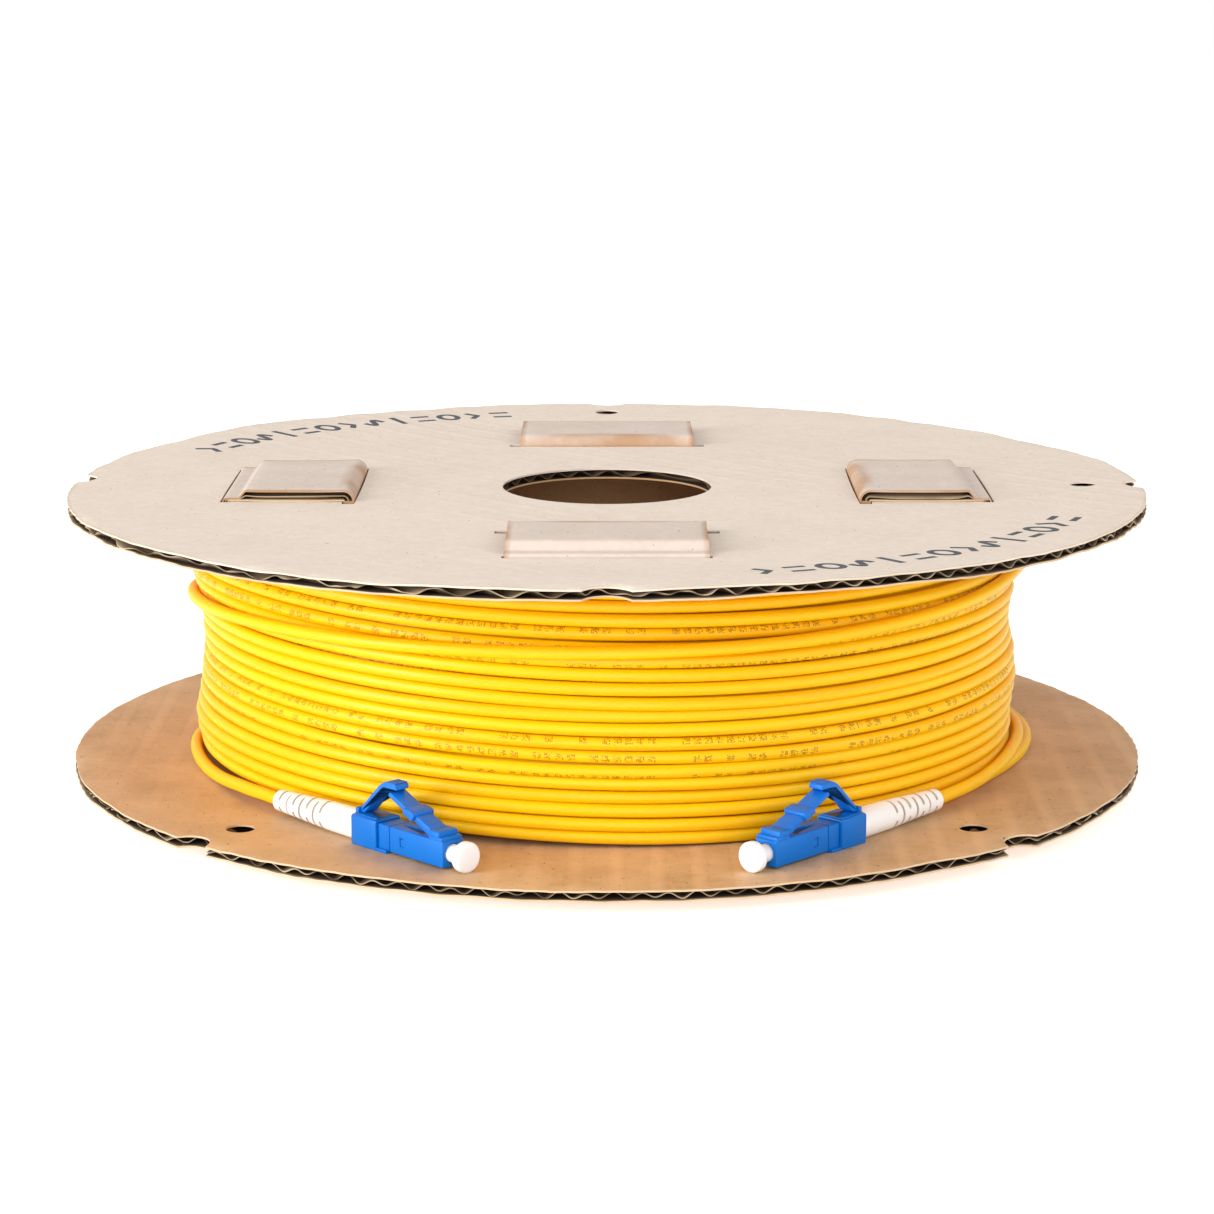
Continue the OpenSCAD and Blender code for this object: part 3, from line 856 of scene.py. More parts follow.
@dataclass
class Flange:
    """One round flange: two liners with fluting glued between them.

    Lengths are in millimetres. The `slot` sizes are those of the cuts that the tabs come up
    through, the `lip` sizes those of the cuts that their ends tuck into, and the `tie` and `notch`
    sizes those of the holes and bites near the rim.
    """

    name: str
    layout: Layout
    level: tuple[float, float]
    tab_turn: float
    ties: list[float]
    notches: list[float]
    flute_turn: float
    seed: int
    lift: float
    finishes: tuple[str, str, str]
    slot: str
    liner_t: float = 0.32
    medium_t: float = 0.2
    flute_pitch: float = 4.4
    slot_w: float = 2.3
    slot_over: float = 2.2
    slot_back: float = 2.15
    slot_bow: float = 0.22
    lip_w: float = 1.95
    lip_over: float = 0.3
    lip_back: float = 1.5
    lip_bow: float = 0.12
    tie_r: float = 2.5
    tie_inset: float = 11.0
    notch_r: float = 4.0
    notch_depth: float = 3.0
    rim_points: int = 1400
    rim_back: float = 0.25
    crush_w: float = 2.6
    lift_from: float = 72.0
    fill_step: float = 3.2
    flute_depth: float = 8.0
    bore_depth: float = 4.5

    def rim_radius(self, angle: np.ndarray) -> np.ndarray:
        """Radius of the rim: the flange's own, or where a ray first meets a notch's circle.

        On a ray at angle d from a notch whose circle stands at distance c with radius n, the near
        crossing is c cos d minus the root of n squared less c squared sin squared d.
        """
        r = np.full_like(angle, self.layout.rim_r)
        c = self.layout.rim_r + self.notch_r - self.notch_depth
        for notch in self.notches:
            d = (angle - math.radians(notch) + math.pi) % FULL - math.pi
            under = self.notch_r**2 - (c * np.sin(d)) ** 2
            near = c * np.cos(d) - np.sqrt(np.maximum(under, 0))
            r = np.where((under > 0) & (np.abs(d) < 0.2), np.minimum(r, near), r)
        return r

    def warp(self, x: np.ndarray, y: np.ndarray) -> np.ndarray:
        """Height by which the board stands off flat: the rim lifts a little, more on some sides."""
        r, a = np.hypot(x, y), np.arctan2(y, x)
        rim = smooth((r - self.lift_from) / (self.layout.rim_r - self.lift_from))
        uneven = 0.55 + 0.3 * np.sin(2 * a + self.seed) + 0.15 * np.sin(5 * a + 2.0 * self.seed)
        return self.lift * rim * uneven

    def crush(self, x: np.ndarray, y: np.ndarray, part: int) -> np.ndarray:
        """How far a liner is pushed in or pulled off near the cut rim, by a closed wander round it."""
        r, a = np.hypot(x, y), np.arctan2(y, x)
        near = smooth((r - self.rim_radius(a) + self.crush_w) / self.crush_w) ** 2
        broad = 0.15 * closed_wander(a, self.seed + part, 9)
        fine = 0.07 * closed_wander(a, self.seed + part + 7, 47)
        return near * (broad - 0.05 + fine)

    def slots(self) -> list[np.ndarray]:
        """The cut that each tab comes up through and the one that its end tucks into, tab by tab.

        Each is a box whose two long sides bow outwards by a cosine of the place along them.
        """
        core, half = self.layout.core_r, self.layout.tab_w / 2
        cuts = (
            (core - self.slot_back, self.slot_w, half + self.slot_over, self.slot_bow),
            (core + self.layout.tab_l - self.lip_back, self.lip_w, half + self.lip_over, self.lip_bow),
        )
        steps = np.linspace(0, 1, 9)[:-1]
        loops = []
        for k in range(4):
            for x0, w, h, bow in cuts:
                box = np.array([(x0, -h), (x0 + w, -h), (x0 + w, h), (x0, h)])
                sides = [p + np.outer(steps, q - p) for p, q in zip(box, np.roll(box, -1, axis=0))]
                loop = np.concatenate(sides)
                bulge = bow * np.cos(loop[:, 1] / h * math.pi / 2)
                loop[:, 0] += bulge * np.sign(loop[:, 0] - x0 - w / 2)
                loops.append(turned(loop, self.tab_turn + 90 * k))
        return loops

    def loops(self, ragged: float, part: int) -> FlatCut:
        """The flat cut of one liner, with its rim torn in and out by up to about `ragged`."""
        a = np.arange(self.rim_points) * FULL / self.rim_points
        broad = closed_wander(a, self.seed + part, 23)
        fine = closed_wander(a, self.seed + 3 + part, 141)
        torn = ragged * (broad * 0.6 + fine * 0.5)
        r = self.rim_radius(a) - self.rim_back - np.maximum(torn, -self.rim_back)
        rim = np.stack([r * np.cos(a), r * np.sin(a)], axis=-1)
        holes = [circle((0, 0), self.layout.bore_r, 180)[::-1], *self.slots()]
        for tie in self.ties:
            holes.append(turned(circle((self.layout.rim_r - self.tie_inset, 0), self.tie_r, 40), tie))
        fill = []
        for inset, every in ((0.7, 1), (1.5, 2), (2.8, 2)):
            near = np.stack([(r - inset) * np.cos(a), (r - inset) * np.sin(a)], axis=-1)
            fill.append(near[::every])
        for radius in np.arange(self.layout.bore_r + 1.5, self.layout.rim_r - 5, self.fill_step):
            fill.append(circle((0, 0), radius, int(FULL * radius / self.fill_step), start=radius))
        return FlatCut(rim, holes, np.concatenate(fill))

    def rim_wear(self, points: np.ndarray, reach: float, over: float) -> np.ndarray:
        """How worn points are: 0 where they lie `reach` inside the rim, and 1 from `over` further out."""
        r, a = np.hypot(points[:, 0], points[:, 1]), np.arctan2(points[:, 1], points[:, 0])
        return smooth((r - self.rim_radius(a) + reach) / over)

    def liner(self, part: int, base: float, ragged: float) -> bpy.types.Object:
        """One liner: the flat cut, raised to its level, warped as the board is, crushed at the rim."""
        flat, tris = self.loops(ragged, part).triangles()
        x, y = flat[:, 0], flat[:, 1]
        low = base + self.warp(x, y) + self.crush(x, y, part)
        points, faces = sheet_shell(flat, tris, low + self.liner_t, low)
        piece = make_mesh(f"{self.name}_{('under', 'upper')[part]}_liner", points, faces)
        sharpen(piece, 50)
        write_wear(piece, self.rim_wear(points, 0.95, 0.5))
        return piece

    def paint_flute_shade(self, piece: bpy.types.Object, part: int, paint: Paint) -> None:
        """Gives the face of a liner that looks into the flutes a dark paper tone: painted shade inside the
        flutes.
        """
        mesh = piece.data
        mesh.materials.append(paint.get("flute_painted_shade"))
        normal = np.empty(len(mesh.polygons) * 3, dtype=np.float32)
        mesh.polygons.foreach_get("normal", normal)
        facing = normal.reshape(-1, 3)[:, 2] * (1 if part == 0 else -1)
        mesh.polygons.foreach_set("material_index", (facing > 0.5).astype(np.int32))

    def fluting(self) -> bpy.types.Object:
        """The fluted medium, where it shows at the rim and in the bore.

        Its height is a sine across the flutes between the two liners. At the cut it is torn to
        uneven lengths and curls a little.
        """
        shells = Shells()
        gap = self.level[1] - self.level[0] - 2 * self.liner_t
        middle = (self.level[0] + self.level[1]) / 2
        turn = math.radians(self.flute_turn)
        rows = np.linspace(0, 1, 17)
        for inner in (False, True):
            count = 420 if inner else self.rim_points
            a = np.arange(count + 1) * FULL / count
            torn = 0.4 * closed_wander(a, self.seed + 31, 37) + 0.25 * closed_wander(a, self.seed + 37, 173)
            if inner:
                r = self.layout.bore_r + 0.25 + np.outer(self.bore_depth * (1 - rows[::2]), np.ones_like(a))
            else:
                edge = self.rim_radius(a) - 0.7 + 0.7 * torn
                r = edge[None, :] - self.flute_depth * (1 - rows[:, None])
            x, y = r * np.cos(a), r * np.sin(a)
            u = x * math.cos(turn) + y * math.sin(turn)
            slow = 0.25 * np.sin(u * 0.11 + self.seed) + 0.2 * np.sin(y * 0.07 + x * 0.05)
            wave = np.sin(FULL * u / self.flute_pitch + slow)
            swing = (gap - self.medium_t) / 2 - 0.04
            edge_part = smooth((r - r.max(axis=0) + 1.6) / 1.6) if not inner else 0.0
            curl = edge_part * 0.22 * closed_wander(a, self.seed + 41, 83)[None, :]
            z = middle + swing * wave * (1 - 0.12 * edge_part) + curl + self.warp(x, y)
            top = np.stack([x, y, z + self.medium_t / 2], axis=-1)
            low = np.stack([x, y, z - self.medium_t / 2], axis=-1)
            shells.add(*slab_shell(top, low))
        piece = shells.piece(f"{self.name}_fluting")
        sharpen(piece, 60)
        write_wear(piece, self.rim_wear(np.concatenate(shells.points), 1.1, 0.8))
        return piece

    def build(self, paint: Paint) -> None:
        """Builds and dresses the two liners and the fluting, in place of the flange's node."""
        under = self.liner(0, self.level[0], 0.16)
        upper = self.liner(1, self.level[1] - self.liner_t, 0.13)
        fluting = self.fluting()
        for piece, finish in zip((under, upper, fluting), self.finishes):
            finish_piece(paint.on(piece, finish), "root", self.slot, self.name)
        # painted shade inside the flutes, on the liner faces that look into them
        self.paint_flute_shade(under, 0, paint)
        self.paint_flute_shade(upper, 1, paint)


# ---- Tabs ---------------------------------------------------------------------------------------


@dataclass
class Tab:
    """One tab of the core: it comes up through its slot, folds flat and tucks its pressed lip down."""

    name: str
    layout: Layout
    direction: float
    upper: bool
    seed: int
    board_t: float = 2.0
    skin_t: float = 0.3
    stem_l: float = 1.5
    lip_t: float = 1.2
    lip_down: float = 1.7
    press_l: float = 4.4
    pressed_share: float = 0.14
    flute_pitch: float = 4.4
    medium_t: float = 0.18
    flat_from: float = 0.28
    flat_to: float = 0.57

    def path(self, depth: float) -> tuple[np.ndarray, np.ndarray]:
        """The line that one ply follows, in X outwards and Z from the folding line.

        It goes up the stem, round a quarter of a circle about the folding line, along the flat and
        down the lip, round a smaller quarter. Depth is how far the ply lies under the top face.

        Returns:
            Points in X and Z, and the share of the points that each stands at, 0 to 1.
        """
        core, tip = self.layout.core_r, self.layout.core_r + self.layout.tab_l
        r = self.board_t - depth
        stem = [(core - r, z) for z in np.linspace(-self.stem_l, -0.1, 4)]
        bend = [(core - r * math.cos(t), r * math.sin(t)) for t in np.linspace(0, math.pi / 2, 9)]
        share = depth / self.board_t
        pressed = self.lip_t * share
        flat = [(x, r) for x in np.linspace(core, tip - self.press_l, 12)[1:]]
        low = r * self.pressed_share + 0.1
        turn_r = max(0.5 - pressed * 0.3, 0.15)
        end = tip - pressed - turn_r
        fall = smooth(np.linspace(0, 2.2, 12)[1:])
        reach = np.linspace(tip - self.press_l, end, 12)[1:]
        slope = [(x, r + (low - r) * float(part)) for part, x in zip(fall, reach)]
        corner = [
            (end + turn_r * math.sin(t), low - turn_r * (1 - math.cos(t)))
            for t in np.linspace(0, math.pi / 2, 5)[1:]
        ]
        lip = [(tip - pressed, z) for z in np.linspace(low - turn_r, -self.lip_down, 4)[1:]]
        line = np.array(stem + bend + flat + slope + corner + lip)
        return line, np.linspace(0, 1, len(line))

    def ply(self, depth: float, thick: float, ripple: float, columns: int) -> Shell:
        """One ply as a closed shell across the tab's width.

        Every point of the path is carried across Y. Its height gains a sine of Y, where the ply is
        fluted, and a soft sag towards its edges, where it is a liner. Both fade out beyond the flat,
        where the board is pressed thin.

        Args:
            depth: Depth of the ply's middle under the top face.
            thick: Thickness of the ply.
            ripple: Height of the flutes, or 0 for a liner.
            columns: Steps across the width.

        Returns:
            Points and faces in the reel's frame.
        """
        line, along = self.path(depth)
        side = np.gradient(line, axis=0)
        side = np.stack([-side[:, 1], side[:, 0]], axis=-1)
        side /= np.linalg.norm(side, axis=1)[:, None]
        half = self.layout.tab_w / 2 - 0.1
        y = np.linspace(-1, 1, columns + 1)
        width = half - 0.25 * smooth((along[:, None] - 0.8) / 0.2)
        yy = y[None, :] * (width + 0.12 * np.sin(7 * along[:, None] + self.seed))
        in_flat = smooth((along - self.flat_from) / 0.1) * smooth((self.flat_to - along) / 0.05)
        shown = np.where(along < 0.4, 0.35 + 0.65 * in_flat, in_flat)[:, None]
        wave = ripple * np.sin(FULL * yy / self.flute_pitch + self.seed) * shown
        edge = smooth((np.abs(y) - 0.9) / 0.1)[None, :] * in_flat[:, None]
        sag = -0.12 * edge + 0.06 * np.sin(yy * 0.5 + self.seed) * in_flat[:, None]
        lift = wave + (sag if ripple == 0 else 0.0)
        grids = []
        for offset in (thick / 2, -thick / 2):
            flat = line[:, None, :] + side[:, None, :] * (lift + offset)[..., None]
            grids.append(np.stack([flat[..., 0], yy, flat[..., 1]], axis=-1))
        points, faces = slab_shell(grids[0], grids[1])
        return self.place(points), faces if self.upper else [f[::-1] for f in faces]

    def place(self, points: np.ndarray) -> np.ndarray:
        """Carries points from the tab's frame to the reel's; a lower tab is mirrored downwards."""
        xy = turned(points[:, :2], self.direction)
        if self.upper:
            return np.column_stack([xy, self.layout.upper_fold_z + points[:, 2]])
        return np.column_stack([xy, self.layout.lower_fold_z - points[:, 2]])

    def build(self, paint: Paint) -> None:
        """Builds the top skin, the under skin and the fluting, and bends them at the fold."""
        half = self.skin_t / 2
        swing = (self.board_t - 2 * self.skin_t - self.medium_t) / 2 - 0.03
        plies = (
            ("top_skin", half, self.skin_t, 0.0, 30, "tab"),
            ("under_skin", self.board_t - half, self.skin_t, 0.0, 24, "inner_liner"),
            ("fluting", self.board_t / 2, self.medium_t, swing, 110, "medium"),
        )
        for kind, depth, thick, ripple, columns, finish in plies:
            points, faces = self.ply(depth, thick, ripple, columns)
            piece = sharpen(make_mesh(f"{self.name}_{kind}", points, faces), 50)
            rim = np.abs(np.abs(turned(points[:, :2], -self.direction)[:, 1]) - self.layout.tab_w / 2)
            radius = np.hypot(points[:, 0], points[:, 1])
            bend = smooth((self.layout.core_r + 2.2 - radius) / 2.4)
            write_wear(piece, np.maximum(bend * 0.8, smooth((0.7 - rim) / 0.6)))
            paint.on(piece, finish)
            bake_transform(piece)
            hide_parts(self.name, f"{'upper' if self.upper else 'lower'}_tab_folds")
            LOG.info("%s: %d faces bend at %s", piece.name, len(faces), self.name)


# ---- Printed marks ------------------------------------------------------------------------------


@dataclass
class PrintedArc:
    """A row of plain marks printed round the upper flange, one for each letter of `marks`.

    They are chevrons (c), rings (o), bars (b), waves (w) and pairs of bars (any other letter).
    """

    flange: Flange
    start: float
    end: float
    marks: str
    name: str
    radius: float = 88.2
    height: float = 7.0
    stroke: float = 1.25
    film: float = 0.03

    def strokes(self, kind: str) -> list[np.ndarray]:
        """Lines of one mark in a square from 0 to 1, x along the row and y outwards."""
        if kind == "c":
            return [np.array([(0.25, 0.1), (0.65, 0.5), (0.25, 0.9)])]
        if kind == "o":
            t = np.linspace(0, FULL, 25)
            return [np.stack([0.5 + 0.38 * np.cos(t), 0.5 + 0.38 * np.sin(t)], axis=-1)]
        if kind == "b":
            return [np.array([(0.5, 0.0), (0.5, 1.0)])]
        if kind == "w":
            t = np.linspace(0, 1, 17)
            return [np.stack([0.05 + 0.9 * t, 0.5 + 0.35 * np.sin(FULL * t)], axis=-1)]
        return [np.array([(0.1, 0.2), (0.9, 0.2)]), np.array([(0.1, 0.8), (0.9, 0.8)])]

    def build(self, paint: Paint) -> None:
        """Builds every stroke as a thin band that lies on the liner, and dresses them in ink."""
        shells = Shells()
        step = math.radians(self.end - self.start) / len(self.marks)
        size = min(abs(step) * self.radius * 0.86, self.height)
        top_z = self.flange.level[1]
        for k, kind in enumerate(self.marks):
            centre = math.radians(self.start) + (k + 0.5) * step
            for line in self.strokes(kind):
                steps = np.linspace(0, 1, 6, endpoint=False)
                parts = [p + np.outer(steps, q - p) for p, q in zip(line[:-1], line[1:])]
                fine = np.concatenate(parts + [line[-1:]])
                ahead = np.gradient(fine, axis=0)
                ahead /= np.linalg.norm(ahead, axis=1)[:, None]
                normal = np.stack([-ahead[:, 1], ahead[:, 0]], axis=-1)
                grid = []
                for sign in (-1, 1):
                    flat = (fine - 0.5) * (size, self.height) + sign * self.stroke / 2 * normal
                    a = centre + np.sign(step) * flat[:, 0] / self.radius
                    r = self.radius + np.sign(step) * flat[:, 1]
                    grid.append(np.stack([r * np.cos(a), r * np.sin(a)], axis=-1))
                xy = np.stack(grid, axis=1)
                x, y = xy[..., 0], xy[..., 1]
                z = top_z + self.flange.warp(x, y) + self.flange.crush(x, y, 1)
                top = np.concatenate([xy, (z + self.film)[..., None]], axis=-1)
                low = np.concatenate([xy, (z - self.film)[..., None]], axis=-1)
                points, faces = slab_shell(top, low)
                facing = np.cross(top[1, 0] - top[0, 0], top[0, 1] - top[0, 0])[2]
                shells.add(points, faces if facing > 0 else [f[::-1] for f in faces])
        piece = shells.piece(self.name, flat=True)
        finish_piece(paint.on(piece, "ink"), "root", "upper_board")


# ---- Cable --------------------------------------------------------------------------------------


def bump(x: np.ndarray, centre: float, half: float) -> np.ndarray:
    """One hump of height 1: the squared cosine over `half` either side of the centre, then 0."""
    return np.cos(np.clip((x - centre) / half, -1, 1) * math.pi / 2) ** 2


@dataclass(frozen=True)
class Bulge:
    """A place where many turns stand proud or lie deep: direction, height, half widths and distance."""

    direction: float
    height: float
    half_turn: float
    half_height: float
    out: float


@dataclass(frozen=True)
class Slack:
    """One turn that moves over part of its way: turns left after it, direction, half width, out and up."""

    turn: int
    direction: float
    half: float
    out: float
    up: float = 0.0


@dataclass
class Winding:
    """The cable wound on the core, layer on layer, each nested in the grooves of the one below."""

    layout: Layout
    cable_r: float = 1.15
    layers: int = 12
    turns: int = 19
    pitch: float = 2.33
    last_direction: float = 174.0
    bottom_z: float = 5.4
    outer_sides: int = 12
    inner_sides: int = 6
    bulges: list[Bulge] = field(default_factory=lambda: [
        Bulge(183, 42, 50, 9, 1.0), Bulge(186, 12, 46, 8, 1.1), Bulge(180, 27, 60, 7, -0.7),
        Bulge(-178, 42, 40, 9, 1.0), Bulge(2, 20, 40, 8, 0.7), Bulge(0, 31, 45, 7, -0.8),
        Bulge(60, 38, 50, 9, 0.6), Bulge(120, 16, 50, 8, 0.5)])
    slack: list[Slack] = field(default_factory=lambda: [
        Slack(0, 8, 45, 5.0, -0.1), Slack(1, 8, 22, 0.0, -2.2), Slack(0, -112, 34, -0.7),
        Slack(3, -70, 60, -0.55), Slack(5, -105, 48, 0.35, -0.2), Slack(6, -105, 52, -0.75),
        Slack(9, -60, 70, -0.7, 0.15), Slack(10, -58, 70, 0.3, -0.3), Slack(12, -120, 45, -0.55),
        Slack(13, -40, 50, 0.35, 0.2), Slack(15, -90, 70, -0.6), Slack(16, -35, 44, 0.4, -0.3),
        Slack(17, -60, 60, -0.7, 0.1), Slack(18, -110, 60, -0.2)])

    def layer_radius(self, layer: int) -> float:
        """Radius of a layer's centre line: the outermost lies just inside the winding's solid."""
        outer = self.layout.wound_r - self.cable_r
        return outer - (self.layers - 1 - layer) * 2 * self.cable_r * math.cos(math.pi / 6)

    def proud(self, direction: np.ndarray, height: np.ndarray) -> np.ndarray:
        """How far the bulges move the surface out at a direction in degrees and a height."""
        total = np.zeros_like(direction)
        for b in self.bulges:
            off = (direction - b.direction + 180) % 360 - 180
            total += b.out * bump(off, 0, b.half_turn) * bump(height, b.height, b.half_height)
        return total

    def outer_path(self) -> np.ndarray:
        """Centre line of the outermost layer, from the top down to where the left end leaves.

        A turn runs level, then steps down by one pitch over the front left. Wanders of a tenth of a
        millimetre, the bulges and the slack turns are added to its radius and height.
        """
        step = 2.0
        angle = np.arange(self.last_direction - 360 * self.turns, self.last_direction + step / 2, step)
        left = (self.last_direction - angle) / 360
        whole = np.minimum(np.floor(left + 1e-9), self.turns - 1)
        around = self.last_direction - 360 * (left - whole)
        drop = smooth((around + 160) / 100)
        z = self.bottom_z + self.pitch * (whole + 1 - drop)
        r = np.full_like(z, self.layer_radius(self.layers - 1))
        tie = smooth((self.last_direction - angle) / 30) * smooth((angle - angle[0]) / 30)
        sway = np.radians(angle)
        z += 0.11 * wander(sway, 3, 0.37, 7) * tie
        r += (0.14 * wander(sway, 5, 0.29, 7) + self.proud(around, z)) * tie
        for s in self.slack:
            here = np.where(whole == s.turn, bump(around, s.direction, s.half), 0.0)
            r += s.out * here
            z += s.up * here
        leaving = 0.8 * smooth((angle - self.last_direction + 20) / 20)
        hidden = 2.0 * smooth((angle[0] + 24 - angle) / 24)
        r += leaving - hidden
        z = np.maximum(z, self.layout.wound_z[0] + self.cable_r - 0.05)
        return self.points(angle, r, z)

    def inner_path(self, first: int, last: int, step: float) -> np.ndarray:
        """Centre line of several layers, up one and down the next, each climbing to its radius."""
        angle, radius, height = [], [], []
        at = self.last_direction - 360 * self.turns * (last - first + 1)
        low = self.bottom_z + self.pitch / 2
        high = low + self.pitch * (self.turns - 1)
        for layer in range(first, last + 1):
            u = np.arange(0, 360 * self.turns, step) / (360 * self.turns)
            up = (self.layers - 2 - layer) % 2 == 0
            rise = low + (high - low) * u if up else high - (high - low) * u
            here = self.layer_radius(layer)
            before = self.layer_radius(max(layer - 1, 0))
            angle.append(at + 360 * self.turns * u)
            radius.append(before + (here - before) * smooth(u * self.turns * 12))
            height.append(rise)
            at += 360 * self.turns
        return self.points(np.concatenate(angle), np.concatenate(radius), np.concatenate(height))

    @staticmethod
    def points(angle: np.ndarray, radius: np.ndarray, height: np.ndarray) -> np.ndarray:
        """Points at directions in degrees, distances from the spindle axis and heights."""
        a = np.radians(angle)
        return np.stack([radius * np.cos(a), radius * np.sin(a), height], axis=-1)

    def return_path(self, start: Triple) -> np.ndarray:
        """The turn wound over the others: from the right end up the back, and once round near the top."""
        base = self.layer_radius(self.layers - 1)
        over = base + 2.15
        keys = np.array([
            (0, start[2]), (12, start[2] + 0.2), (30, 9.4), (60, 14), (100, 21.5),
            (140, 29.5), (180, 35.2), (215, 37.2), (250, 38.0), (285, 38.6),
            (320, 40.2), (350, 42.4), (375, 44.4), (400, 45.8), (430, 46.6)])
        angle = np.arange(0, keys[-1, 0] + 0.1, 2.0)
        kernel = np.hanning(13) / np.hanning(13).sum()
        raw = np.interp(angle, keys[:, 0], keys[:, 1])
        z = np.convolve(np.pad(raw, 6, mode="edge"), kernel, mode="valid")
        z[:4] = start[2]
        direction = start[0] + angle
        r = start[1] + (over - start[1]) * smooth(angle / 14) + 0.9 * bump(angle, 352, 26)
        r = r - (over - base + 1.6) * smooth((angle - 400) / 28)
        r += self.proud(direction, z) * smooth(angle / 30)
        return self.points(direction, r, z)

    def build(self, paint: Paint, right_start: Triple) -> None:
        """Builds the outer layer, the layer under it, the inner layers and the turn wound over them."""
        paths = {
            "outer_turns": (self.outer_path(), self.outer_sides),
            "second_turns": (self.inner_path(self.layers - 2, self.layers - 2, 3.0), 8),
            "inner_turns": (self.inner_path(0, self.layers - 3, 8.0), self.inner_sides),
            "over_turn": (self.return_path(right_start), self.outer_sides),
        }
        total = 0.0
        for name, (path, sides) in paths.items():
            rings = tube_rings(path, self.cable_r, sides)
            piece = make_mesh(name, rings.reshape(-1, 3), loft_faces(len(path), sides))
            run = run_length(path)
            write_run(piece, run, sides)
            total += run[-1] * MM
            finish_piece(paint.on(piece, "jacket"), "root", "cable_jacket", "cable_winding")
        LOG.info("wound length %.1f m in %d layers", total, self.layers)


LEFT_ROUTE = [
    (-186, 75.6, 5.4), (-183, 76.3, 5.4), (-180, 76.9, 5.4), (-177, 77.2, 5.4), (-174, 77.3, 5.4),
    (-171, 77.3, 5.4), (-168, 77.3, 5.4), (-165, 77.3, 5.4), (-162, 77.3, 5.4), (-159, 77.3, 5.4),
    (-156, 77.3, 5.5), (-153, 77.4, 5.7), (-150, 77.5, 6.0), (-147, 77.6, 6.3), (-144, 77.8, 6.5),
    (-141, 77.9, 6.7)]
RIGHT_ROUTE = [
    (8, 75.6, 7.8), (5, 76.3, 7.8), (2, 76.9, 7.8), (-1, 77.2, 7.8), (-4, 77.3, 7.8),
    (-7, 77.3, 7.8), (-10, 77.3, 7.8), (-13, 77.3, 7.8), (-16, 77.3, 7.8), (-19, 77.4, 7.7),
    (-22, 77.5, 7.6), (-25, 77.6, 7.4), (-28, 77.6, 7.2), (-31, 77.7, 7.0), (-34, 77.8, 6.9),
    (-37.5, 77.9, 6.8)]


@dataclass
class Lead:
    """A free end of the cable, from where it leaves the winding to the inside of its boot."""

    side: str
    route: list[Triple]
    plug: PlugFrame
    boot_stops: Triple = (-22.5, -15.25, -8.2)
    cable_d: float = 2.3
    sides: int = 12

    def build(self, paint: Paint, plug_pieces: list[bpy.types.Object]) -> None:
        hand = [polar(*stop) for stop in self.route]
        inner = [self.plug.place(np.array([x, 0.0, 0.0])) for x in self.boot_stops]
        path = through(np.array(hand + inner), 5)
        rings = tube_rings(path, self.cable_d / 2, self.sides)
        piece = make_mesh(f"lead_{self.side}", rings.reshape(-1, 3), loft_faces(len(path), self.sides))
        run = run_length(path)
        write_run(piece, run, self.sides)
        finish_piece(paint.on(piece, "jacket"), "root", "cable_jacket", f"cable_lead_{self.side}")


# ---- Plugs --------------------------------------------------------------------------------------


def corner_section(w: float, h: float, r: float, steps: int = 4) -> np.ndarray:
    """A rectangle across X with round corners: four quarter circles, counter-clockwise in Y and Z."""
    parts = []
    for k, (sy, sz) in enumerate(((1, 1), (-1, 1), (-1, -1), (1, -1))):
        t = np.linspace(0, math.pi / 2, steps + 1) + k * math.pi / 2
        parts.append(np.stack([sy * (w / 2 - r) + r * np.cos(t), sz * (h / 2 - r) + r * np.sin(t)], axis=-1))
    return np.concatenate(parts)


def bar_shell(stations: list[Station]) -> Shell:
    """A bar along +X through stations of (x, width, height, middle height, corner radius)."""
    rings = []
    for x, w, h, z, r in stations:
        flat = corner_section(w, h, r)
        rings.append(np.column_stack([np.full(len(flat), x), flat[:, 0], flat[:, 1] + z]))
    return np.concatenate(rings), loft_faces(len(rings), len(rings[0]))


def rounded_bar(
    x0: float, x1: float, w: float, h: float, z: float, r: float, end: float
) -> Shell:
    """A bar whose middle is at height z, with corners of radius r and ends eased over a length `end`."""
    def at(x: float, inset: float) -> Station:
        """One station, drawn in by an inset."""
        return (x, w - 2 * inset, h - 2 * inset, z, max(r - inset * 0.3, 0.05))
    eased = [at(x0, end), at(x0 + 0.3 * end, 0.3 * end), at(x0 + end, 0.0)]
    return bar_shell(eased + [at(x1 - end, 0.0), at(x1 - 0.3 * end, 0.3 * end), at(x1, end)])


def prism_shell(flat: list[tuple[float, float]], low: float, high: float) -> Shell:
    """A prism over flat points, which run counter-clockwise, between two heights."""
    rings = [np.column_stack([flat, np.full(len(flat), z)]) for z in (low, high)]
    return np.concatenate(rings), loft_faces(2, len(flat))


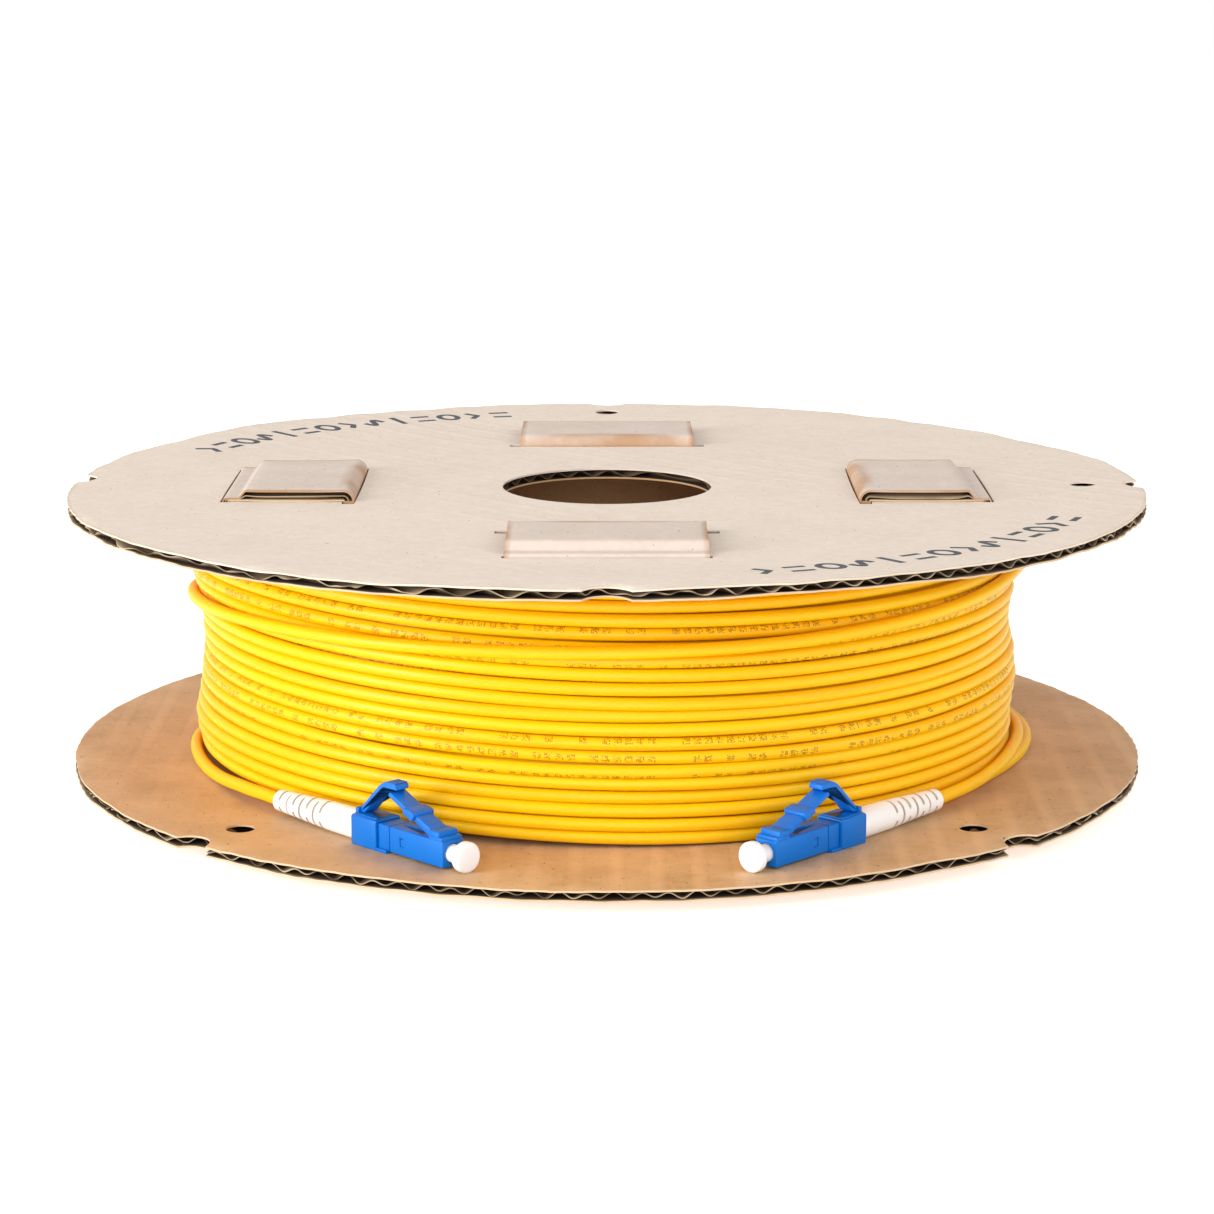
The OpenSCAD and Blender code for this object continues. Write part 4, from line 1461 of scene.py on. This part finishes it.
def plate_shell(outline: np.ndarray, half: float, ease: float) -> Shell:
    """A plate across Y whose outline is given in X and Z, clockwise seen from -Y, with eased edges.

    The outline is carried from one side to the other. Near each side it is drawn in along its own
    corner bisectors by `ease`, in two steps.
    """
    before, after = np.roll(outline, 1, axis=0), np.roll(outline, -1, axis=0)
    a = (outline - before) / np.linalg.norm(outline - before, axis=1)[:, None]
    b = (after - outline) / np.linalg.norm(after - outline, axis=1)[:, None]
    inward = np.stack([-(a + b)[:, 1], (a + b)[:, 0]], axis=-1)
    inward /= np.maximum(np.linalg.norm(inward, axis=1), 0.3)[:, None]
    area = np.sum(outline[:, 0] * after[:, 1] - after[:, 0] * outline[:, 1])
    inward *= np.sign(area)
    rings = []
    for y, inset in ((-half, ease), (-half + 0.3 * ease, 0.3 * ease), (-half + ease, 0), (half - ease, 0),
                     (half - 0.3 * ease, 0.3 * ease), (half, ease)):
        flat = outline + inward * inset
        rings.append(np.column_stack([flat[:, 0], np.full(len(flat), y), flat[:, 1]]))
    faces = loft_faces(len(rings), len(outline))
    return np.concatenate(rings), faces if area < 0 else [f[::-1] for f in faces]


def round_corners(corners: list[Triple], steps: int = 5) -> np.ndarray:
    """An outline whose corners (x, z, radius) are each replaced by a curve.

    The curve is a quadratic Bezier that starts and ends a radius away from the corner, or at most
    0.45 of the shorter side.
    """
    points = np.array([c[:2] for c in corners])
    out = []
    for i, p in enumerate(points):
        back, ahead = points[i - 1] - p, points[(i + 1) % len(points)] - p
        reach = min(corners[i][2], 0.45 * np.linalg.norm(back), 0.45 * np.linalg.norm(ahead))
        if reach < 0.02:
            out.append(p[None])
            continue
        s, e = p + back / np.linalg.norm(back) * reach, p + ahead / np.linalg.norm(ahead) * reach
        t = np.linspace(0, 1, steps)[:, None]
        out.append((1 - t) ** 2 * s + 2 * t * (1 - t) * p + t**2 * e)
    return np.concatenate(out)


def lathe_shell(profile: np.ndarray, sides: int, cut: np.ndarray | None = None) -> Shell:
    """A closed profile of (x, radius) turned about X: both directions close, so nothing needs a cap.

    Args:
        profile: Points of the closed profile, outside first, running along -X.
        sides: Steps about the axis.
        cut: Depth taken off the radius at every profile point and step, or None.

    Returns:
        Points and faces.
    """
    turn = np.arange(sides) * FULL / sides
    radius = np.repeat(profile[:, 1:2], sides, axis=1)
    if cut is not None:
        radius = radius - cut
    x = np.repeat(profile[:, :1], sides, axis=1)
    grid = np.stack([x, radius * np.cos(turn), radius * np.sin(turn)], axis=-1)
    n = len(profile)
    i, k = np.meshgrid(np.arange(n), np.arange(sides), indexing="ij")
    j, m = (i + 1) % n, (k + 1) % sides
    faces = np.stack([i * sides + k, j * sides + k, j * sides + m, i * sides + m], axis=-1)
    return grid.reshape(-1, 3), faces.reshape(-1, 4).tolist()


def carve(piece: bpy.types.Object, cutters: list[bpy.types.Object]) -> bpy.types.Object:
    """Takes the cutters' shapes out of a piece, applies the cuts and removes the cutters."""
    for cutter in cutters:
        cut = piece.modifiers.new("cut", "BOOLEAN")
        cut.object, cut.operation, cut.solver = cutter, "DIFFERENCE", "EXACT"
    bpy.context.view_layer.update()
    made = piece.evaluated_get(bpy.context.evaluated_depsgraph_get())
    mesh = bpy.data.meshes.new_from_object(made)
    piece.modifiers.clear()
    piece.data = mesh
    for cutter in cutters:
        bpy.data.objects.remove(cutter)
    return piece


@dataclass
class Plug:
    """A small latched fibre plug: housing, rear clip, latch lever, trigger arm, boot and dust cap.

    Lengths are in millimetres in the plug's own frame. The clip is given by length, width and
    height, the bay by its two ends and radius, the socket by its start and radius, the hinges by
    X and Z, and the pad by its two X and two Z. The cap reaches `cap_in` behind the plug's front
    and `cap_out` ahead of it.
    """

    place: PlugFrame
    body_w: float = 4.5
    reach: float = 23.1
    clip: Triple = (6.6, 5.6, 5.3)
    neck_end: float = 9.4
    bay: Triple = (0.6, 15.0, 1.7)
    socket: tuple[float, float] = (16.0, 1.65)
    latch_hinge: tuple[float, float] = (19.0, 3.0)
    latch_rise: float = 24.0
    latch_l: float = 11.2
    arm_hinge: tuple[float, float] = (1.5, 3.4)
    pad: tuple[float, float, float, float] = (7.4, 10.4, 8.3, 9.4)
    pad_ridges: int = 4
    ridge_pitch: float = 0.62
    boot_l: float = 22.5
    boot_plain: float = 8.0
    boot_rings: int = 7
    boot_front_r: float = 2.62
    boot_tail_r: float = 1.86
    boot_bore_r: float = 1.2
    boot_fall: float = 0.1
    boot_step: float = 0.12
    groove_first: float = 0.9
    groove_half: float = 0.28
    groove_ease: float = 0.12
    groove_depth: float = 0.5
    # depth past which groove faces take the painted shade
    groove_shade_depth: float = 0.2
    cap_in: float = 4.9
    cap_out: float = 4.1
    cap_head: float = 1.6
    pieces: list[bpy.types.Object] = field(default_factory=list)

    def put(
        self, paint: Paint, part: str, shell: Shells, finish: str, body: str, slot: str, *nodes: str
    ) -> bpy.types.Object:
        """Makes a piece of shells given in the plug's frame, dresses it and makes it ride."""
        side = self.place.side
        shell.points = [self.place.place(p) for p in shell.points]
        piece = sharpen(shell.piece(f"{side}_{part}_shape"), 38)
        finish_piece(paint.on(piece, finish), body, slot, *(f"{side}_{n}" for n in nodes))
        self.pieces.append(piece)
        return piece

    def cutter(self, points: np.ndarray, faces: list[list[int]]) -> bpy.types.Object:
        """A shape to take out of a piece, given in the plug's frame."""
        return make_mesh("cutter", self.place.place(points), faces)

    def rod_cutter(self, x0: float, x1: float, r: float) -> bpy.types.Object:
        """A round bore along the plug's axis."""
        sides = 32
        t = np.arange(sides) * FULL / sides
        rings = [np.column_stack([np.full(sides, x), r * np.cos(t), r * np.sin(t)]) for x in (x0, x1)]
        return self.cutter(np.concatenate(rings), loft_faces(2, sides))

    def housing(self, paint: Paint) -> None:
        """The square body, with its groove, the hollow top, the stepped front block, the bores, and a dark
        sheet of painted shade in the hollow.
        """
        w, half = self.body_w, self.body_w / 2
        x0, neck = self.bay[0], self.neck_end
        shell = Shells()
        stations = (
            (x0, 0.4, 0.2), (x0 + 0.2, 0.1, 0.25), (neck, 0.1, 0.25), (neck + 0.02, 0.36, 0.2),
            (neck + 0.22, 0.36, 0.2), (neck + 0.26, 0.1, 0.22), (neck + 0.34, 0.0, 0.28),
            (self.reach - 0.24, 0.0, 0.28), (self.reach - 0.07, 0.14, 0.24), (self.reach, 0.42, 0.16))
        shell.add(*bar_shell([(x, w - less, w - less, 0, r) for x, less, r in stations]))
        body = self.put(paint, "housing", shell, "plug", "root", "plug_plastic", "plug_housing")
        cutters = [
            self.rod_cutter(x0 - 1, self.bay[1], self.bay[2]),
            self.rod_cutter(self.bay[1] - 0.3, self.socket[0] + 0.3, 1.2),
            self.rod_cutter(self.socket[0], self.reach + 1, self.socket[1]),
        ]
        cutters.append(self.cutter(*prism_shell([(10.5, 0.0), (17.2, -1.55), (17.2, 1.55)], 1.82, 3.0)))
        marks = ((-0.75, 0.85, 12.2, 12.45), (-0.75, -0.5, 12.2, 13.3), (0.6, 0.85, 12.2, 13.3))
        for sign in (-1, 1):
            y0, y1 = sorted((sign * (half - 0.22), sign * (half + 0.5)))
            for low, high, back, front in marks:
                flat = (y1 - y0, high - low, (low + high) / 2, 0.02)
                points, faces = bar_shell([(back, *flat), (front, *flat)])
                points[:, 1] += (y0 + y1) / 2
                cutters.append(self.cutter(points, faces))
        carve(body, cutters)
        sharpen(body, 30)
        paint.on(body, "plug")
        block = Shells()
        block.add(*rounded_bar(19.35, 22.0, w - 0.3, 1.7, half + 0.55, 0.22, 0.16))
        block.add(*rounded_bar(19.6, 22.85, w - 0.04, 0.9, half + 0.1, 0.2, 0.14))
        self.put(paint, "front_block", block, "plug", "root", "plug_plastic")
        # painted shade: a dark sheet on the floor of the hollow top
        floor = Shells()
        floor.add(*prism_shell([(10.9, 0.0), (17.1, -1.45), (17.1, 1.45)], 1.76, 1.88))
        self.put(paint, "hollow_painted_shade", floor, "recess_painted_shade", "root", "plug_plastic")

    def rear_clip(self, paint: Paint) -> None:
        """The clip that closes the housing's back, with its foot, the lug of the arm and a dark sheet of
        painted shade on its top.
        """
        length, w, h = self.clip
        shell = Shells()
        shell.add(*rounded_bar(0, length, w, h, 0, 0.42, 0.3))
        clip = self.put(paint, "clip", shell, "plug", "root", "plug_plastic", "rear_clip")
        inner = self.body_w + 0.1
        hole = bar_shell([(x, inner, inner, 0, 0.25) for x in (self.bay[0] - 0.05, length + 1)])
        carve(clip, [self.cutter(*hole), self.rod_cutter(-1, 1, 1.9)])
        sharpen(clip, 30)
        paint.on(clip, "plug")
        foot = Shells()
        foot.add(*rounded_bar(length - 0.4, length + 2.5, w - 0.25, 0.62, -h / 2 + 0.36, 0.12, 0.1))
        foot.add(*rounded_bar(0.15, 0.95, 3.6, 1.2, h / 2 + 0.4, 0.2, 0.15))
        foot.add(*rounded_bar(0.35, length - 0.4, w - 1.2, 0.3, h / 2 + 0.02, 0.1, 0.1))
        self.put(paint, "clip_trim", foot, "plug", "root", "plug_plastic")
        # painted shade: a dark sheet on the clip's top
        shade = Shells()
        shade.add(*prism_shell([(2.1, -0.4), (6.1, -1.7), (6.1, 1.7)], h / 2 + 0.1, h / 2 + 0.19))
        self.put(paint, "clip_painted_shade", shade, "recess_painted_shade", "root", "plug_plastic")

    def trigger_arm(self, paint: Paint) -> None:
        """The arm that rises from the clip and hooks its pad over the tip of the latch lever."""
        hx, hz = self.arm_hinge
        x0, x1, z0, z1 = self.pad
        outline = round_corners([
            (hx - 0.45, hz - 0.35, 0.2), (hx + 0.5, hz - 0.5, 0.3), (hx + 1.5, hz + 0.45, 0.8),
            (x0 - 0.5, z0 - 0.05, 0.7), (x1 - 0.9, z0, 0.2), (x1 - 0.75, z0 - 0.02, 0.1), (x1, z0, 0.15),
            (x1, z1 - 0.35, 0.35), (x1 - 0.5, z1, 0.4), (x0 + 0.1, z1, 0.9), (x0 - 1.2, z1 - 0.75, 0.8),
            (hx - 0.15, hz + 0.55, 0.4)])
        shell = Shells()
        shell.add(*plate_shell(outline, 1.45, 0.14))
        for k in range(self.pad_ridges):
            at = self.ridge_pitch * k
            shell.add(*rounded_bar(x0 + 0.55 + at, x0 + 0.85 + at, 2.6, 0.16, z1, 0.05, 0.05))
        body = f"{self.place.side}_trigger"
        self.put(paint, "trigger", shell, "lever", body, "lever_plastic", "trigger_arm")

    def latch_lever(self, paint: Paint) -> None:
        """The lever that rises back from the front block, thicker at its root, with two side ears."""
        a = math.radians(self.latch_rise)
        hx, hz = self.latch_hinge

        def turn(points: np.ndarray) -> np.ndarray:
            """Carries points from the lever's frame, +X towards its hinge, to the plug's."""
            x, z = points[:, 0], points[:, 2]
            return np.column_stack([
                hx + x * math.cos(a) + z * math.sin(a), points[:, 1], hz - x * math.sin(a) + z * math.cos(a)])

        shell = Shells()
        arm = round_corners([
            (1.0, -0.1, 0.3), (1.3, 0.5, 0.2), (0.6, 0.85, 0.5), (-3.4, 0.72, 0.5), (-4.6, 0.46, 0.5),
            (-self.latch_l + 0.4, 0.46, 0.2), (-self.latch_l, 0.3, 0.2), (-self.latch_l, -0.4, 0.2),
            (-3.0, -0.46, 0.6), (0.2, -0.6, 0.3)])
        points, faces = plate_shell(arm, 1.7, 0.16)
        shell.add(turn(points), faces)
        ear = round_corners([
            (-3.7, 0.6, 0.25), (-3.9, 1.02, 0.15), (-4.7, 1.02, 0.3), (-6.5, 0.56, 0.3),
            (-6.5, -0.46, 0.2), (-3.9, -0.46, 0.25)])
        points, faces = plate_shell(ear, 2.3, 0.18)
        shell.add(turn(points), faces)
        self.put(paint, "latch", shell, "lever", f"{self.place.side}_latch", "lever_plastic", "latch_lever")

    def boot(self, paint: Paint) -> None:
        """The tapered strain relief: smooth in front, then rings parted by slots in turn.

        Each groove takes depth off the radius over its width. About the axis it is broken by two
        bridges, which stand at the sides of one groove and at the top and bottom of the next.
        Faces cut deeper than a set depth take a darker finish: painted shade in the grooves.
        """
        front, step = self.boot_front_r, self.boot_step
        last_plain, end = -self.boot_plain, -self.boot_l
        x = np.concatenate([
            [0.0, -0.06, -0.2, -0.5], np.linspace(-1, last_plain, 6),
            np.arange(last_plain - step, end + 0.2, -step), [end + 0.06, end]])
        share = np.clip((x - last_plain) / (end - last_plain), 0, 1)
        neck = front - self.boot_fall
        plain = front - self.boot_fall * (-x / self.boot_plain)
        r = np.where(x > last_plain, plain, neck - (neck - self.boot_tail_r) * share)
        r[0] -= 0.25
        r[1] -= 0.1
        r[2] -= 0.03
        r[-1] -= 0.18
        bore = self.boot_bore_r
        inner = np.array([(end, bore), (-14.0, bore), (-8.0, bore), (-8.0, 1.9), (-4.0, 1.9), (0.0, 1.9)])
        profile = np.concatenate([np.column_stack([x, r]), inner])
        sides = 64
        turn = np.arange(sides) * FULL / sides
        cut = np.zeros((len(profile), sides))
        pitch = (self.boot_l - self.boot_plain - 0.8) / self.boot_rings
        outer = np.arange(len(profile)) < len(x)
        for k in range(self.boot_rings):
            middle = last_plain - self.groove_first - pitch * k
            off = np.abs(profile[:, 0] - middle)
            along = smooth((self.groove_half - off) / self.groove_ease) * outer
            bridge = np.abs(np.sin(turn + (math.pi / 2 if k % 2 else 0)))
            open_part = 0.25 + 0.75 * smooth((bridge - 0.30) / 0.12)
            cut = np.maximum(cut, self.groove_depth * along[:, None] * open_part[None, :])
        points, faces = lathe_shell(profile, sides, cut)
        shell = Shells()
        shell.add(points, faces)
        piece = self.put(paint, "boot", shell, "boot", "root", "boot_rubber", "boot")
        sharpen(piece, 60)
        # painted shade: faces deep in the grooves take the darker finish
        piece.data.materials.append(paint.get("groove"))
        depth = cut.ravel()
        deep = [int(max(depth[v] for v in face) > self.groove_shade_depth) for face in faces]
        piece.data.polygons.foreach_set("material_index", deep)

    def dust_cap(self, paint: Paint) -> None:
        """The cap over the ferrule: a tube that slides in the nose, and a domed head."""
        x0, x1 = self.reach - self.cap_in, self.reach + self.cap_out
        head = x1 - self.cap_head
        t = np.linspace(0, math.pi / 2, 7)
        dome = np.column_stack([x1 - 0.45 + 0.45 * np.sin(t[::-1]), 1.9 + 0.7 * np.cos(t[::-1])])
        crown = np.array([(x1 + 0.06, 0.02), (x1 + 0.05, 0.9), (x1 + 0.02, 1.5)])
        rear = np.column_stack([head + 0.3 - 0.3 * np.sin(t), 2.3 + 0.3 * np.cos(t)])
        tube = np.array([
            (head, 1.75), (head - 0.12, 1.6), (head - 0.4, 1.55), (x0 + 0.3, 1.55), (x0, 1.42), (x0, 0.68)])
        bore = np.array([(self.reach + 2.4, 0.68), (self.reach + 2.5, 0.02)])
        profile = np.concatenate([crown, dome, rear, tube, bore])
        points, faces = lathe_shell(profile, 48)
        shell = Shells()
        shell.add(points, faces)
        self.put(paint, "cap", shell, "cap", f"{self.place.side}_cap", "cap_plastic", "dust_cap")

    def build(self, paint: Paint, nodes: dict[str, bpy.types.Object]) -> None:
        """Builds every outer piece, dresses the inner nodes that stay, and keeps them all for the cord."""
        self.housing(paint)
        self.rear_clip(paint)
        self.trigger_arm(paint)
        self.latch_lever(paint)
        self.boot(paint)
        self.dust_cap(paint)
        kept = {"ferrule": "ceramic", "ferrule_holder": "metal", "ferrule_spring": "metal",
                "cable_insert": "insert", "crimp_sleeve": "metal"}
        for part, finish in kept.items():
            node = nodes[f"{self.place.side}_{part}"]
            self.pieces.append(paint.on(node, finish))


# ---- Stage --------------------------------------------------------------------------------------


@dataclass
class Studio:
    """Camera, lights, world and floor."""

    camera_at: Triple = (0.0, -611.07, 158.92)
    camera_tilt: float = 78.06
    lens: float = 98.29
    sensor: float = 36.0
    floor_half: float = 3000.0
    world_light: float = 0.55
    floor_glow: float = 0.5

    def camera(self) -> None:
        """The camera, straight in front of the reel and looking slightly down."""
        data = bpy.data.cameras.new("camera")
        data.lens, data.sensor_width = self.lens, self.sensor
        data.clip_start, data.clip_end = 0.01, 20.0
        camera = bpy.data.objects.new("camera", data)
        camera.location = Vector(self.camera_at) * MM
        camera.rotation_euler = (math.radians(self.camera_tilt), 0.0, 0.0)
        bpy.context.scene.collection.objects.link(camera)
        bpy.context.scene.camera = camera

    def light(self, name: str, at: Triple, size: float, power: float) -> None:
        """A square soft light that looks at the middle of the reel."""
        data = bpy.data.lights.new(name, "AREA")
        data.shape, data.size, data.energy = "SQUARE", size, power
        lamp = bpy.data.objects.new(name, data)
        lamp.location = at
        way = Vector((0.0, 0.0, 0.03)) - Vector(at)
        lamp.rotation_euler = way.to_track_quat("-Z", "Y").to_euler()
        bpy.context.scene.collection.objects.link(lamp)

    def build(self) -> None:
        """Sets the lights, the white world, the plain floor and a neutral view."""
        self.light("left_light", (-1.3, -0.9, 0.6), 0.7, 15.0)
        self.light("low_left_light", (-1.5, -0.7, 0.24), 0.4, 9.0)
        self.light("top_light", (-0.1, 0.3, 1.5), 1.0, 3.0)
        self.light("front_light", (0.1, -1.8, 0.3), 0.8, 10.0)
        self.light("right_light", (1.3, -0.6, 0.8), 0.8, 6.0)
        world = bpy.data.worlds.new("studio")
        world.use_nodes = True
        n = Nodes(world.node_tree)
        background = world.node_tree.nodes["Background"]
        background.inputs["Color"].default_value = (1.0, 1.0, 1.0, 1.0)
        seen = n.add("ShaderNodeLightPath").outputs["Is Camera Ray"]
        n.link(n.span(seen, 0.0, 1.0, self.world_light, 1.0), background.inputs["Strength"])
        bpy.context.scene.world = world
        bpy.context.scene.view_settings.view_transform = "Standard"
        h = self.floor_half
        square = np.array([(-h, -h, 0), (h, -h, 0), (h, h, 0), (-h, h, 0)])
        floor = make_mesh("floor", square, [[0, 1, 2, 3]])
        material = bpy.data.materials.new("floor paper")
        material.use_nodes = True
        shader = material.node_tree.nodes["Principled BSDF"]
        shader.inputs["Base Color"].default_value = (0.9, 0.9, 0.9, 1.0)
        shader.inputs["Roughness"].default_value = 0.9
        shader.inputs["Emission Color"].default_value = (1.0, 1.0, 1.0, 1.0)
        shader.inputs["Emission Strength"].default_value = self.floor_glow
        floor.data.materials.append(material)


def corners(box: tuple[Vector, Vector]) -> list[list[float]]:
    """A box's two corners as plain lists."""
    return [list(box[0]), list(box[1])]


def main() -> None:
    """Builds the reel around the frame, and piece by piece."""
    logging.basicConfig(level=logging.INFO, format="%(name)s %(message)s")
    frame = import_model()
    layout = Layout.read(frame)
    paint = Paint()
    studio = Studio()
    studio.camera()
    for side, route in (("left", LEFT_ROUTE), ("right", RIGHT_ROUTE)):
        place = PlugFrame(side, frame, Plug.reach)
        plug = Plug(place)
        plug.build(paint, frame["nodes"])
        Lead(side, route, place).build(paint, plug.pieces)
    Winding(layout).build(paint, RIGHT_ROUTE[0])
    upper = Flange(
        "upper_flange", layout, layout.upper_z, tab_turn=0.0, ties=[0.0, 90.0],
        notches=[0.0, 90.0, 176.0, 270.0], flute_turn=45.0, seed=4, lift=1.0,
        finishes=("inner_liner", "upper_liner", "medium"), slot="upper_board")
    lower = Flange(
        "lower_flange", layout, layout.lower_z, tab_turn=45.0, ties=[225.0, 315.0],
        notches=[45.0, 135.0, 225.0, 315.0], flute_turn=0.0, seed=9, lift=0.3,
        finishes=("inner_liner", "lower_liner", "medium"), slot="lower_board")
    upper.build(paint)
    lower.build(paint)
    for k in range(4):
        Tab(f"upper_tab_{k + 1}", layout, 90.0 * k, True, 11 + k).build(paint)
        Tab(f"lower_tab_{k + 1}", layout, 45.0 + 90.0 * k, False, 21 + k).build(paint)
    marks = "c2owb2ocwb2oc2"
    PrintedArc(upper, 155, 103, marks, "print_back").build(paint)
    PrintedArc(upper, -75, -22, marks, "print_front").build(paint)
    paint.on(frame["nodes"]["core_wall"], "core")
    studio.build()


if __name__ == "__main__":
    main()
